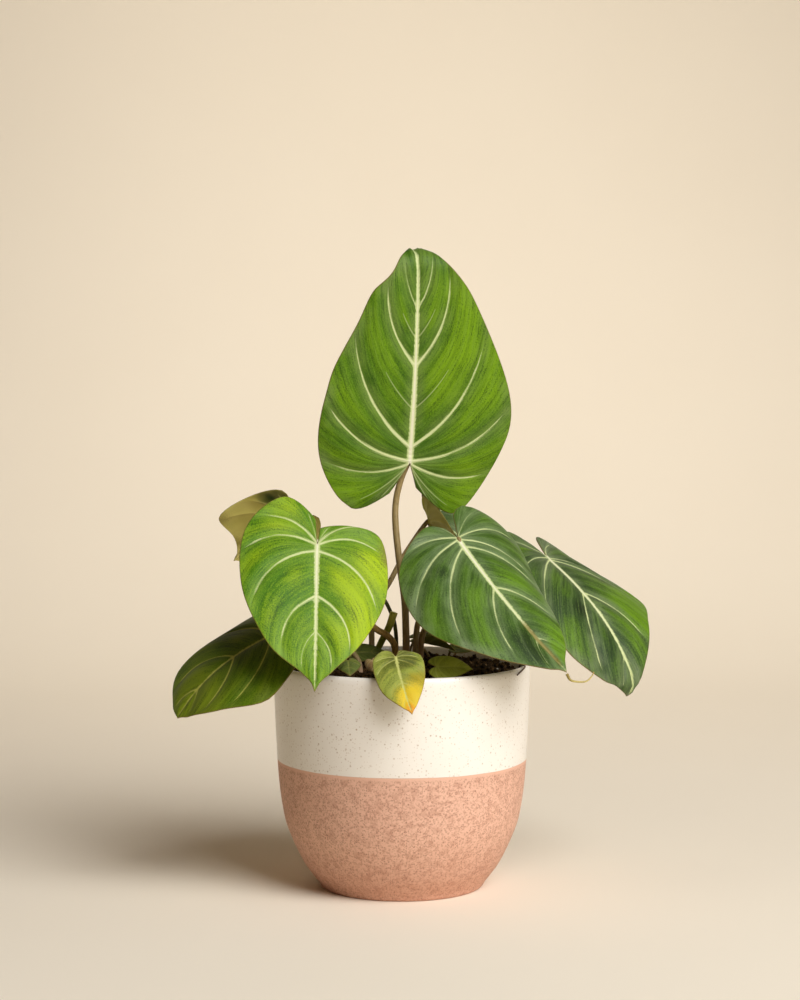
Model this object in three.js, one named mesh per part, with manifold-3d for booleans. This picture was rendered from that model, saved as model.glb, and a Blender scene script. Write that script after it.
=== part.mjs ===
// A potted velvet-leaved philodendron: a two-tone ceramic pot, potting mix, eight grown leaves
// on their own stalks, and the small young leaves that stand in the mix around the crown.
// Millimetres, +Z up, +X to the viewer's right, +Y away from the viewer.
// The origin is the centre of the flat foot of the pot.
import * as THREE from 'three';
import Module from 'manifold-3d';

const wasm = await Module();
wasm.setup();

const DEGREE = Math.PI / 180;
const SEAT_GAP = 0.3; // clearance between a piece and whatever it rests against
const TURN_SEGMENTS = 44; // facets around the pot and the mix

// Pot: outside and inside of the wall as [radius, height] from foot to rim.
const POT_OUTSIDE = [
  [46.5, 0], [47.8, 0.8], [49.4, 3.5], [53.2, 8.5], [57.6, 14.7], [63.4, 26.5], [67.9, 38.2],
  [70.3, 50], [71.8, 61.8], [72.7, 73.5], [73.4, 85.3], [74.4, 108], [75, 127],
];
const POT_RIM = [[75, 129.6], [74.3, 130.9], [73.2, 131.3], [72.1, 130.9], [71.4, 129.6]];
const POT_INSIDE = [
  [70.7, 108], [69.7, 85.3], [68.1, 61.8], [64.2, 38.2], [59.6, 26.5], [50, 12], [42, 7],
];
const POT_FLOOR = 6; // thickness of the floor on the axis

// Potting mix: a body that fills the pot and stands a little proud in the middle.
const MIX_SIDE = [[41.6, 7.4], [49.6, 12.4], [59.2, 26.7], [63.8, 38.3], [69.3, 85.3], [70.6, 122]];
const MIX_TOP = [[68.8, 125.4], [61, 126.3], [50, 127.6], [38, 129.2], [26, 130.8], [13, 132]];
const MIX_BOTTOM = 6.4;
const MIX_CROWN = 132.4; // height of the mix on the axis
const MIX_ROUGHNESS = 0.9; // how far a clod stands out of the even surface
const STALK_DEPTH = 14; // how deep a stalk stands in the mix

const BLADE_THICKNESS = 0.8;
const BLADE_ROWS = [0, 0.12, 0.36, 0.68, 1]; // from the midrib to the margin
const BLADE_STEPS = [4, 3, 3, 3, 3, 3, 3]; // columns between one vein and the next
const YOUNG_ROWS = [0, 0.45, 1];
const YOUNG_STEPS = [1, 1, 1, 1, 1, 2, 1];
const LOBE_ZONE = 0.5; // how far behind the junction the midrib line is carried, in blade lengths
const LOBE_SPAN = 0.2; // lobePitch is reached this far behind the junction, in blade lengths
const DROOP_POWER = 1.5; // a midrib bends more and more towards its tip
const MIDRIB_STEPS = 300;
// Arching of the side veins by where they meet the margin (0 junction, 1 tip): none up to
// ARCH_FROM, full from ARCH_FULL on, and easing to half of it from ARCH_EASES to the tip.
const ARCH_FROM = 0.08;
const ARCH_FULL = 0.43;
const ARCH_EASES = 0.8;
const NOTCH_ROOM = 0.6; // how much of the angle up to the edge of the notch a vein may arch through
const QUILT_EASE = 0.3; // the quilting is full from this far from the junction, in blade lengths
const WAVE_EASE = 0.1; // share of the margin over which its waving fades at both ends
const WAVE_LAG = 1.7; // how far the waves of the right margin run behind those of the left, radians

// A heart-shaped blade as this plant grows it, in fractions of length and half width:
// knots of the margin between the junction with the stalk and the tip.
const HEART = [[-0.11, 0.14], [-0.19, 0.46], [0, 0.93], [0.3, 0.97], [0.6, 0.7], [0.85, 0.28]];
// Veins: where each meets the left margin and the right margin (0 junction, 1 tip, with the knots
// evenly between), and where it leaves the midrib as a fraction of the length.
const HEART_VEINS = [
  [0.2, 0.2, 0], [0.34, 0.34, 0], [0.47, 0.47, 0.02],
  [0.6, 0.6, 0.06], [0.78, 0.78, 0.48], [0.9, 0.9, 0.74],
];

// Grown leaves. junction: where stalk and blade meet. heading, pitch, roll: how the blade is held
// (0 heading points to +X, 90 away from the viewer). droop, sweep, twist: bending of the midrib.
// fold and curl: how each half stands to the midrib and bends across. tipCurl: the rolled end,
// from tipStart on. bend: how strongly the side veins arch. quilt: rise of the blade between veins.
// left and right: knots of the margin in mm along and across. via: points the stalk passes.
const LEAVES = {
  1: {
    junction: [4.5, 4, 247], heading: 107, pitch: 104, roll: 0, length: 139, halfWidth: 56,
    droop: -10, sweep: -2, twist: -3, fold: [5, 6], curl: [-13, -11], lobePitch: 0, bend: 25,
    tipCurl: -120, tipStart: 0.8, quilt: 1.5, wave: 1.2, waves: 4,
    left: [[-18, 11], [-26, 35], [3, 54], [44, 53], [95, 31], [116, 14]],
    right: [[-15, 5], [-30, 31], [5, 55], [41, 59], [96, 34], [122, 14]],
    veins: [[0.2, 0.2, 0], [0.43, 0.39, 0], [0.56, 0.55, 0.01], [0.67, 0.67, 0.07],
      [0.82, 0.82, 0.42], [0.91, 0.9, 0.66]],
    foot: [2.6, 2], radii: [2.3, 1.8],
    via: [[2.4, 2, 148], [1.6, 3, 167], [-1.4, 5, 189], [-3.7, 8, 211], [-3.4, 10, 225],
      [-0.3, 9.5, 238]],
    under: 2.4,
  },
  2: {
    junction: [-47.9, -42, 203.6], heading: -90, pitch: -56, roll: -8, length: 88, halfWidth: 43,
    droop: -22, sweep: -2, twist: 1, fold: [3, 8], curl: [-21, -15], lobePitch: 2, bend: 35,
    tipCurl: 0, tipStart: 0.85, quilt: 1.3, wave: 0.8, waves: 3,
    left: [[-10, 3], [-13.5, 20], [-6, 38], [28, 41], [58, 27], [76, 10]],
    right: [[-16, 3], [-28, 20], [-7, 41], [30, 42], [62, 27], [78, 7]],
    veins: [[0.2, 0.2, 0], [0.35, 0.39, 0], [0.48, 0.49, 0.01], [0.64, 0.63, 0.05],
      [0.78, 0.77, 0.37], [0.87, 0.86, 0.61]],
    foot: [-3.6, -4.6], radii: [2.2, 1.7],
    via: [[-4.5, -6, 142], [-9, -9, 148], [-17, -15, 154], [-33, -27, 174], [-44, -35, 194]],
    under: 1.8,
  },
  3: {
    junction: [-68, 18, 214.6], heading: 144, pitch: -27, roll: 37, length: 47, halfWidth: 30,
    droop: -27, sweep: 3, twist: 4, fold: [7, 8], curl: [-22, -20], lobePitch: 3, bend: 25,
    tipCurl: 0, tipStart: 0.85, quilt: 1, wave: 0.6, waves: 3,
    left: [[-8, 3], [-15, 18], [-1, 26], [24, 27], [38, 10], [46, 4]],
    right: [[-7, 4], [-13, 14], [0, 26], [18, 26], [34, 16], [44, 5]],
    veins: HEART_VEINS,
    foot: [-3, 5.5], radii: [1.3, 1],
    via: [[-3.6, 7, 148], [-6, 9, 158], [-14, 11, 171], [-36, 15, 189], [-60, 17, 206]],
    under: 1.4,
  },
  4: {
    junction: [-69.2, -28, 152.9], heading: 194, pitch: -23, roll: -21, length: 79, halfWidth: 36,
    droop: -41, sweep: -8, twist: 3, fold: [2, 5], curl: [-29, -24], lobePitch: 0, bend: 34,
    tipCurl: 0, tipStart: 0.85, quilt: 1.2, wave: 0.7, waves: 3,
    left: [[-9, 5], [-16, 17], [0, 31], [31, 41], [59, 25], [73, 9]],
    right: [[-9, 5], [-16, 16], [0, 35], [27, 29], [60, 28], [75, 11]],
    veins: [[0.2, 0.2, 0], [0.34, 0.34, 0], [0.47, 0.47, 0.02], [0.69, 0.6, 0.08],
      [0.8, 0.8, 0.39], [0.9, 0.9, 0.74]],
    foot: [-24, -27], radii: [1.7, 1.4],
    via: [[-26, -27, 137], [-34, -27, 145], [-48, -27, 149], [-60, -27.5, 148.5]],
    under: 1.8,
  },
  5: {
    junction: [32, -26, 205.5], heading: -48, pitch: -43, roll: 19, length: 104, halfWidth: 46,
    droop: -7, sweep: -13, twist: 10, fold: [3, 5], curl: [-51, -36], lobePitch: 0, bend: 22,
    tipCurl: 0, tipStart: 0.85, quilt: 1.4, wave: 0.8, waves: 3,
    left: [[-16, 6], [-21, 22], [6, 50], [38, 38], [66, 27], [88, 16]],
    right: [[-9, 3], [-13, 17], [6, 43], [41, 50], [73, 33], [95, 11]],
    veins: [[0.31, 0.2, 0], [0.43, 0.38, 0], [0.57, 0.54, 0.01], [0.62, 0.67, 0.06],
      [0.75, 0.8, 0.37], [0.9, 0.9, 0.74]],
    foot: [8, -3.2], radii: [1.8, 1.6],
    via: [[8.4, -4, 148], [10.5, -6, 158], [18, -10, 176], [27, -17, 194]],
    under: 1,
  },
  6: {
    junction: [16.3, 36, 211], heading: 12, pitch: -62, roll: 14, length: 74, halfWidth: 28,
    droop: -8, sweep: 0, twist: 0, fold: [24, 22], curl: [12, 12], lobePitch: 0, bend: 28,
    tipCurl: 0, tipStart: 0.85, quilt: 1.2, wave: 0.6, waves: 3,
    left: [[-9, 3], [-17, 12], [-2, 25], [22, 27], [45, 20], [63, 8]],
    right: [[-9, 3], [-17, 12], [-2, 24], [22, 27], [45, 20], [63, 8]],
    veins: HEART_VEINS,
    foot: [-17.6, 17], radii: [1.9, 1.5],
    via: [[-17.8, 17, 142], [-17.6, 18, 153], [-15, 20, 164], [-7.6, 23.5, 175], [1.3, 29, 191]],
    under: 1.5,
  },
  7: {
    junction: [85.8, 28, 190.5], heading: -39, pitch: -34, roll: -4, length: 105, halfWidth: 44,
    droop: -43, sweep: -6, twist: -29, fold: [1, 8], curl: [-19, -27], lobePitch: 2, bend: 24,
    tipCurl: -60, tipStart: 0.85, quilt: 1.4, wave: 0.9, waves: 3,
    left: [[-12, 6], [-20, 19], [6, 32], [43, 53], [65, 33], [94, 6]],
    right: [[-14, 3], [-22, 19], [1, 40], [35, 40], [67, 37], [97, 13]],
    veins: [[0.2, 0.2, 0], [0.34, 0.34, 0], [0.49, 0.49, 0.02], [0.6, 0.62, 0.03],
      [0.77, 0.82, 0.31], [0.9, 0.9, 0.74]],
    foot: [11, 4], radii: [1.9, 1.6],
    via: [[12, 4, 146], [18, 3, 156], [34, 2, 170], [58, 10, 181], [77, 24, 186]],
    under: 2,
  },
  8: {
    junction: [-3.5, -67, 142.8], heading: -79, pitch: -39, roll: 3, length: 40, halfWidth: 16,
    droop: -19, sweep: -11, twist: 0, fold: [3, 3], curl: [-21, -21], lobePitch: -1, bend: 25,
    tipCurl: 0, tipStart: 0.85, quilt: 0.6, wave: 0.3, waves: 2,
    left: [[-4, 2], [-4, 7], [-1, 15], [12, 15], [24, 11], [34, 5]],
    right: [[-4, 2], [-5, 7], [1, 13], [12, 14], [24, 12], [34, 5]],
    veins: HEART_VEINS,
    foot: [-3.4, -40], radii: [1.3, 1.1],
    via: [[-3.4, -41, 134], [-3.4, -48, 138.8], [-3.5, -61, 141.2]],
    under: 1.4,
  },
};

// Young leaves, each a small heart of the same growth on a short stalk.
const YOUNG = {
  1: {
    junction: [-28, -12, 138], heading: 12, pitch: 4, roll: 34, length: 22, halfWidth: 8,
    curl: [-30, -30], foot: [-30, -11],
  },
  2: {
    junction: [-30.5, -43, 137.4], heading: -84, pitch: -20, roll: 0, length: 15, halfWidth: 7.5,
    curl: [-45, -45], foot: [-30.5, -38],
  },
  3: {
    junction: [-17, -44, 137.8], heading: -70, pitch: -20, roll: 8, length: 14, halfWidth: 6,
    curl: [-95, -95], foot: [-16, -38],
  },
  4: {
    junction: [19, -47, 134.5], heading: 2, pitch: 2, roll: 42, length: 22, halfWidth: 9,
    curl: [-35, -35], foot: [16, -46],
  },
  5: {
    junction: [13, 15, 140.5], heading: 10, pitch: -6, roll: -14, length: 20, halfWidth: 8.5,
    curl: [25, 25], foot: [16, 17],
  },
  6: {
    junction: [7.5, 33, 140.9], heading: 8, pitch: 12, roll: 20, length: 19, halfWidth: 6,
    curl: [-20, -20], foot: [4, 33],
  },
  7: {
    junction: [30, 27, 135.5], heading: 5, pitch: 2, roll: 24, length: 14, halfWidth: 6,
    curl: [-20, -20], foot: [28, 30],
  },
};
// What all the young blades share.
const YOUNG_HABIT = {
  droop: -25, sweep: 0, twist: 0, fold: [10, 10], lobePitch: 0, bend: 25, tipCurl: 0,
  tipStart: 0.85, quilt: 0, wave: 0.3, waves: 2, veins: HEART_VEINS,
};
const YOUNG_RADII = [0.9, 0.63]; // of the stalk, at the mix and at the blade
const YOUNG_SINK = 1.2; // how far a young stalk runs into its blade, as they are one growth

// Sheath of an opened leaf: a green stub beside the crown, wider towards its cut top.
const SHEATH = {
  foot: [-15, -1], radii: [1.2, 2.3], holeRadius: 1.9,
  via: [[-14.6, -1, 137], [-12, -1.4, 143], [-7.4, -2.4, 152], [-4.6, -3, 160.5]],
};
// Dried drip tip of leaf 5, and a dried tendril hooked over the rim.
const DRIED_TIP = [[91.4, -72.9, 133.9], [93.2, -73.8, 130.8], [96.6, -74.5, 129.8],
  [101.8, -75, 130], [105, -75, 132.8], [106.2, -75, 135.4]];
const TENDRIL = [[67.6, -16.6, 129.6], [68.4, -18.6, 131.7], [69.7, -22.2, 132.5],
  [70.3, -27.8, 131.5], [65.6, -38.9, 128.6]];
const THREAD_RADIUS = 0.6;

const clamp01 = (x) => Math.min(1, Math.max(0, x));
const smooth = (x) => clamp01(x) ** 2 * (3 - 2 * clamp01(x));
const add = (p, q, k = 1) => p.map((value, i) => value + k * q[i]);
const cross = (p, q) => [
  p[1] * q[2] - p[2] * q[1], p[2] * q[0] - p[0] * q[2], p[0] * q[1] - p[1] * q[0],
];
const dot = (p, q) => p.reduce((sum, value, i) => sum + value * q[i], 0);
const unit = (p) => p.map((value) => value / Math.hypot(...p));

/** Value at x of the line through the points (xs, ys). */
function interpolate(x, xs, ys) {
  if (x <= xs[0]) return ys[0];
  for (let i = 1; i < xs.length; i += 1) {
    if (x <= xs[i]) {
      const span = xs[i] - xs[i - 1];
      return ys[i - 1] + (ys[i] - ys[i - 1]) * (span > 0 ? (x - xs[i - 1]) / span : 0);
    }
  }
  return ys[ys.length - 1];
}

/** Point at t (0 to 1) on the smooth curve through evenly timed points of any dimension. */
function curvePoint(points, t) {
  const last = points.length - 1;
  const place = clamp01(t) * last;
  const i = Math.min(Math.floor(place), last - 1);
  const w = place - i;
  const p1 = points[i];
  const p2 = points[i + 1];
  const p0 = i > 0 ? points[i - 1] : add(p1, add(p1, p2, -1));
  const p3 = i < last - 1 ? points[i + 2] : add(p2, add(p2, p1, -1));
  return p1.map((_, k) => 0.5 * (2 * p1[k] + (p2[k] - p0[k]) * w
    + (2 * p0[k] - 5 * p1[k] + 4 * p2[k] - p3[k]) * w ** 2
    + (3 * p1[k] - p0[k] - 3 * p2[k] + p3[k]) * w ** 3));
}

/** Repeatable numbers between 0 and 1. */
function randomFrom(seed) {
  let state = seed;
  return () => {
    state = (state * 1664525 + 1013904223) % 4294967296;
    return state / 4294967296;
  };
}

/** Midrib of a blade in its own frame: place, direction angle and yaw along the length. */
function midribOf(leaf) {
  const rows = [];
  const step = (1 + LOBE_ZONE) / MIDRIB_STEPS;
  let place = [0, 0, 0];
  let before = null;
  for (let i = 0; i <= MIDRIB_STEPS; i += 1) {
    const s = -LOBE_ZONE + i * step;
    const ahead = Math.max(s, 0);
    const behind = Math.max(-s, 0);
    const rolled = smooth((s - leaf.tipStart) / (1 - leaf.tipStart));
    const angle = (leaf.droop * ahead ** DROOP_POWER + leaf.tipCurl * rolled
      - leaf.lobePitch * behind / LOBE_SPAN) * DEGREE;
    const yaw = leaf.sweep * ahead * DEGREE;
    const way = [Math.cos(angle) * Math.cos(yaw), Math.cos(angle) * Math.sin(yaw), Math.sin(angle)];
    if (before) place = add(place, add(way, before), 0.5 * step * leaf.length);
    before = way;
    rows.push([s, ...place, angle, yaw]);
  }
  const stations = rows.map((row) => row[0]);
  const columns = [1, 2, 3, 4, 5].map((k) => rows.map((row) => row[k]));
  const start = columns.map((column) => interpolate(0, stations, column));
  return (s) => columns.map((column, k) => interpolate(s, stations, column) - (k < 3 ? start[k] : 0));
}

/** Directions of a held blade: along the midrib, to its right, out of its upper side. */
function heldFrame(leaf) {
  const h = leaf.heading * DEGREE;
  const p = leaf.pitch * DEGREE;
  const r = leaf.roll * DEGREE;
  const along = [Math.cos(h) * Math.cos(p), Math.sin(h) * Math.cos(p), Math.sin(p)];
  const level = [-Math.cos(h) * Math.sin(p), -Math.sin(h) * Math.sin(p), Math.cos(p)];
  const side = cross(along, level);
  const up = level.map((value, i) => value * Math.cos(r) + side[i] * Math.sin(r));
  const right = side.map((value, i) => value * Math.cos(r) - level[i] * Math.sin(r));
  return { along, right, up };
}

/**
 * Surface of a blade: a function of side (-1 left, 1 right), c along the margin and b from the
 * midrib (0) to the margin (1). Lines of equal c run as the side veins run: they leave the midrib
 * where the vein does, arch forward and end on the margin. The first one is the edge of the notch,
 * from the junction to the first knot of the margin, and none arches over it.
 */
function bladeSurface(leaf) {
  const { length, halfWidth, veins } = leaf;
  const midrib = midribOf(leaf);
  const frame = heldFrame(leaf);
  const knots = [0, ...veins.map((vein) => (vein[0] + vein[1]) / 2), 1];
  const origins = [0, ...veins.map((vein) => vein[2] * length), length];
  const margins = [leaf.left, leaf.right].map((points) => [[0, 0], ...points, [length, 0]]);
  const lobeAt = 1 / (leaf.left.length + 1);
  const marginAt = [0, 1].map((k) => [lobeAt, ...veins.map((vein) => vein[k]), 1]);
  const surface = (side, c, b) => {
    const k = side < 0 ? 0 : 1;
    const a = interpolate(c, knots, marginAt[k]);
    const start = interpolate(c, knots, origins);
    const [endAlong, endAcross] = curvePoint(margins[k], a);
    const towards = endAlong - start;
    const notch = Math.atan2(margins[k][1][1], margins[k][1][0]);
    const full = smooth((a - ARCH_FROM) / (ARCH_FULL - ARCH_FROM));
    const eased = 1 - 0.5 * smooth((a - ARCH_EASES) / (1 - ARCH_EASES));
    const room = NOTCH_ROOM * Math.max(0, notch - Math.atan2(endAcross, towards));
    const arch = Math.min(leaf.bend * DEGREE * full * eased, room);
    const reach = 0.5 / Math.cos(arch);
    const midAlong = start + reach * (towards * Math.cos(arch) - endAcross * Math.sin(arch));
    const midAcross = reach * (towards * Math.sin(arch) + endAcross * Math.cos(arch));
    const along = (1 - b) ** 2 * start + 2 * b * (1 - b) * midAlong + b * b * endAlong;
    const across = 2 * b * (1 - b) * midAcross + b * b * endAcross;

    const [x, y, z, angle, yaw] = midrib(along / length);
    const twist = leaf.twist * clamp01(along / length) * DEGREE;
    const ahead = [Math.cos(angle) * Math.cos(yaw), Math.cos(angle) * Math.sin(yaw), Math.sin(angle)];
    const flatSide = [-Math.sin(yaw), Math.cos(yaw), 0];
    const flatUp = cross(ahead, flatSide);
    const up = add(flatUp.map((value) => value * Math.cos(twist)), flatSide, -Math.sin(twist));
    const out = add(flatSide.map((value) => value * Math.cos(twist)), flatUp, Math.sin(twist));

    const fold = leaf.fold[k] * DEGREE;
    const curl = leaf.curl[k] * DEGREE;
    const turn = fold + curl * across / halfWidth;
    const width = (Math.sin(turn) - Math.sin(fold)) * halfWidth / curl;
    let height = -(Math.cos(turn) - Math.cos(fold)) * halfWidth / curl;
    const grown = smooth(Math.hypot(along, across) / (QUILT_EASE * length));
    height += grown * quiltHeight(leaf, knots, c, b) + waveHeight(leaf, side, a, b);
    const local = add(add([x, y, z], out, side * width), up, height);
    return add(add(add(leaf.junction, frame.along, local[0]), frame.right, local[1]),
      frame.up, local[2]);
  };
  return { surface, knots, frame };
}

/** Rise of the blade between two veins: none on a vein, on the midrib or at the margin. */
function quiltHeight(leaf, knots, c, b) {
  let i = 0;
  while (i < knots.length - 2 && c > knots[i + 1]) i += 1;
  const between = (c - knots[i]) / (knots[i + 1] - knots[i]);
  return leaf.quilt * Math.sin(Math.PI * clamp01(between)) * Math.sqrt(b) * (1 - b ** 3);
}

/** Waving of the margin. */
function waveHeight(leaf, side, a, b) {
  const phase = leaf.waves * 2 * Math.PI * a + (side < 0 ? 0 : WAVE_LAG);
  const ends = smooth(a / WAVE_EASE) * smooth((1 - a) / WAVE_EASE);
  return leaf.wave * Math.sin(phase) * b ** 3 * ends;
}

/** Sheet of a blade as welded points, and for each half its triangles facing the upper side. */
function bladeSheet(leaf, rows, steps) {
  const { surface, knots } = bladeSurface(leaf);
  const stations = [0];
  steps.forEach((count, i) => {
    for (let j = 1; j <= count; j += 1) {
      stations.push(knots[i] + (knots[i + 1] - knots[i]) * j / count);
    }
  });
  const points = [];
  const known = new Map();
  const weld = (point) => {
    const key = point.map((value) => Math.round(value * 1000)).join();
    if (!known.has(key)) {
      known.set(key, points.length);
      points.push(point);
    }
    return known.get(key);
  };
  const halves = [-1, 1].map((side) => {
    const triangles = [];
    const grid = stations.map((c) => rows.map((b) => weld(surface(side, c, b))));
    for (let i = 1; i < stations.length; i += 1) {
      for (let j = 1; j < rows.length; j += 1) {
        const corners = [grid[i - 1][j - 1], grid[i][j - 1], grid[i][j], grid[i - 1][j]];
        const across = [0, 1].map((n) => {
          const [p, q] = [points[corners[n]], points[corners[n + 2]]];
          return Math.hypot(...add(p, q, -1));
        });
        const split = across[0] <= across[1] ? [[0, 1, 2], [0, 2, 3]] : [[0, 1, 3], [1, 2, 3]];
        for (const pick of split) {
          const face = pick.map((n) => corners[n]);
          if (new Set(face).size === 3) triangles.push(side < 0 ? face.reverse() : face);
        }
      }
    }
    return triangles;
  });
  return { points, halves };
}

/**
 * Closed faces around triangles of a sheet whose lower points follow its upper ones. A wall is cut
 * from the lower-numbered of its two upper points, so two halves share the same wall exactly.
 */
function wrapped(triangles, count) {
  const faces = triangles.map((face) => [...face]);
  triangles.forEach((face) => faces.push(face.map((n) => n + count).reverse()));
  const edges = new Map();
  for (const face of triangles) {
    face.forEach((n, k) => edges.set(`${n},${face[(k + 1) % 3]}`, [n, face[(k + 1) % 3]]));
  }
  for (const [p, q] of edges.values()) {
    if (edges.has(`${q},${p}`)) continue;
    if (p < q) faces.push([q, p, q + count], [p, p + count, q + count]);
    else faces.push([q, p, p + count], [q, p + count, q + count]);
  }
  return faces;
}

/** Solid blade of even thickness: its two halves, joined along the midrib. */
function bladeSolid({ points, halves }) {
  const normals = points.map(() => [0, 0, 0]);
  for (const face of halves.flat()) {
    const [p, q, r] = face.map((n) => points[n]);
    const normal = cross(add(q, p, -1), add(r, p, -1));
    face.forEach((n) => { normals[n] = add(normals[n], normal); });
  }
  const offset = (way) => points.map((point, n) => add(point, unit(normals[n]), way));
  const skin = [...offset(BLADE_THICKNESS / 2), ...offset(-BLADE_THICKNESS / 2)];
  const solids = halves.map((triangles) => solidFrom({
    points: skin, triangles: wrapped(triangles, points.length),
  }));
  return solids[0].add(solids[1]);
}

/** Round stalk through the given points, its radius running from the first to the second. */
function stalkBody(path, [radiusFrom, radiusTo], rings, sides = 8) {
  const points = [];
  const triangles = [];
  const step = 1e-3;
  let side = null;
  for (let i = 0; i <= rings; i += 1) {
    const t = i / rings;
    const centre = curvePoint(path, t);
    const along = unit(add(curvePoint(path, t + step), curvePoint(path, t - step), -1));
    const from = side ?? (Math.abs(along[0]) < 0.9 ? [1, 0, 0] : [0, 1, 0]);
    side = unit(add(from, along, -dot(from, along)));
    const other = cross(along, side);
    const radius = radiusFrom + (radiusTo - radiusFrom) * t;
    for (let k = 0; k < sides; k += 1) {
      const angle = 2 * Math.PI * k / sides;
      points.push(add(add(centre, side, radius * Math.cos(angle)), other, radius * Math.sin(angle)));
    }
  }
  for (let i = 0; i < rings; i += 1) {
    for (let k = 0; k < sides; k += 1) {
      const [a, b] = [i * sides + k, i * sides + (k + 1) % sides];
      triangles.push([a, b, b + sides], [a, b + sides, a + sides]);
    }
  }
  for (let k = 1; k < sides - 1; k += 1) {
    const top = rings * sides;
    triangles.push([0, k + 1, k], [top, top + k, top + k + 1]);
  }
  return { points, triangles };
}

/** Points and triangles of a geometry, welded. */
function bodyFromGeometry(geometry) {
  const position = geometry.getAttribute('position');
  const points = [];
  const known = new Map();
  const index = [];
  for (let i = 0; i < position.count; i += 1) {
    const point = [position.getX(i), position.getY(i), position.getZ(i)];
    const key = point.map((value) => Math.round(value * 1e4) + 0).join();
    if (!known.has(key)) {
      known.set(key, points.length);
      points.push(point);
    }
    index.push(known.get(key));
  }
  const triangles = [];
  const corners = geometry.index ? [...geometry.index.array] : index.map((_, i) => i);
  for (let i = 0; i < corners.length; i += 3) {
    const face = [0, 1, 2].map((k) => index[corners[i + k]]);
    if (new Set(face).size === 3) triangles.push(face);
  }
  return { points, triangles };
}

/** Body turned about the vertical axis from [radius, height] points. */
function turnedBody(profile) {
  const outline = profile.map(([radius, height]) => new THREE.Vector2(radius, height));
  const geometry = new THREE.LatheGeometry(outline, TURN_SEGMENTS);
  geometry.rotateX(90 * DEGREE);
  return bodyFromGeometry(geometry);
}

function solidFrom({ points, triangles }) {
  const mesh = new wasm.Mesh({
    numProp: 3,
    vertProperties: new Float32Array(points.flat()),
    triVerts: new Uint32Array(triangles.flat()),
  });
  return new wasm.Manifold(mesh);
}

function bodyFromSolid(solid) {
  const mesh = solid.getMesh();
  const points = [];
  for (let i = 0; i < mesh.vertProperties.length; i += mesh.numProp) {
    points.push([...mesh.vertProperties.slice(i, i + 3)]);
  }
  const triangles = [];
  for (let i = 0; i < mesh.triVerts.length; i += 3) triangles.push([...mesh.triVerts.slice(i, i + 3)]);
  return { points, triangles };
}

function meshFrom(name, { points, triangles }, color, roughness) {
  const geometry = new THREE.BufferGeometry();
  geometry.setAttribute('position', new THREE.Float32BufferAttribute(points.flat(), 3));
  geometry.setIndex(triangles.flat());
  geometry.computeVertexNormals();
  const material = new THREE.MeshStandardMaterial({ color, roughness, metalness: 0 });
  const mesh = new THREE.Mesh(geometry, material);
  mesh.name = name;
  return mesh;
}

/** Height of the even surface of the mix at a distance from the axis. */
function mixHeight(radius) {
  const rows = [[0, MIX_CROWN], ...[...MIX_TOP].reverse()];
  return interpolate(radius, rows.map((row) => row[0]), rows.map((row) => row[1]));
}

/** Buried start of a stalk: straight down from where it leaves the mix. */
function buriedStart([x, y]) {
  const top = mixHeight(Math.hypot(x, y));
  return [[x, y, top - STALK_DEPTH], [x, y, top - STALK_DEPTH / 2], [x, y, top + 1]];
}

/** Potting mix with a plain round hole for every stalk. */
function mixBody(stalks) {
  const profile = [[0, MIX_BOTTOM], ...MIX_SIDE, ...MIX_TOP, [0, MIX_CROWN]];
  const body = turnedBody(profile);
  const random = randomFrom(8);
  const edge = MIX_TOP[0][0] - 1;
  body.points = body.points.map(([x, y, z]) => {
    const loose = Math.hypot(x, y) < edge && z > MIX_TOP[0][1] - 1;
    return [x, y, loose ? z + MIX_ROUGHNESS * (2 * random() - 1) : z];
  });
  let solid = solidFrom(body);
  const holeSides = 12;
  for (const { foot: [x, y], radius } of stalks) {
    const top = mixHeight(Math.hypot(x, y));
    const wide = (radius + SEAT_GAP) / Math.cos(Math.PI / holeSides);
    const height = 2 * STALK_DEPTH;
    const drill = new THREE.CylinderGeometry(wide, wide, height, holeSides);
    drill.rotateX(90 * DEGREE);
    drill.translate(x, y, top - STALK_DEPTH - SEAT_GAP + height / 2);
    solid = solid.subtract(solidFrom(bodyFromGeometry(drill)));
  }
  return bodyFromSolid(solid);
}

/** Young leaf: blade and stalk are one growth. */
function youngBody(young) {
  const outline = HEART.map(([along, across]) => [along * young.length, across * young.halfWidth]);
  const leaf = { ...YOUNG_HABIT, ...young, left: outline, right: outline };
  const { along, up } = heldFrame(leaf);
  const end = add(add(leaf.junction, up, -0.1), along, YOUNG_SINK);
  const neck = add(add(leaf.junction, up, -2.2), along, -YOUNG_SINK);
  const path = [...buriedStart(leaf.foot), neck, end];
  const stalk = solidFrom(stalkBody(path, YOUNG_RADII, 8, 6));
  return bodyFromSolid(bladeSolid(bladeSheet(leaf, YOUNG_ROWS, YOUNG_STEPS)).add(stalk));
}

const plant = new THREE.Group();
plant.name = 'potted_philodendron';

const potProfile = [[0, 0], ...POT_OUTSIDE, ...POT_RIM, ...POT_INSIDE, [0, POT_FLOOR]];
plant.add(meshFrom('pot', turnedBody(potProfile), 0xe9e0d2, 0.4));

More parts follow.
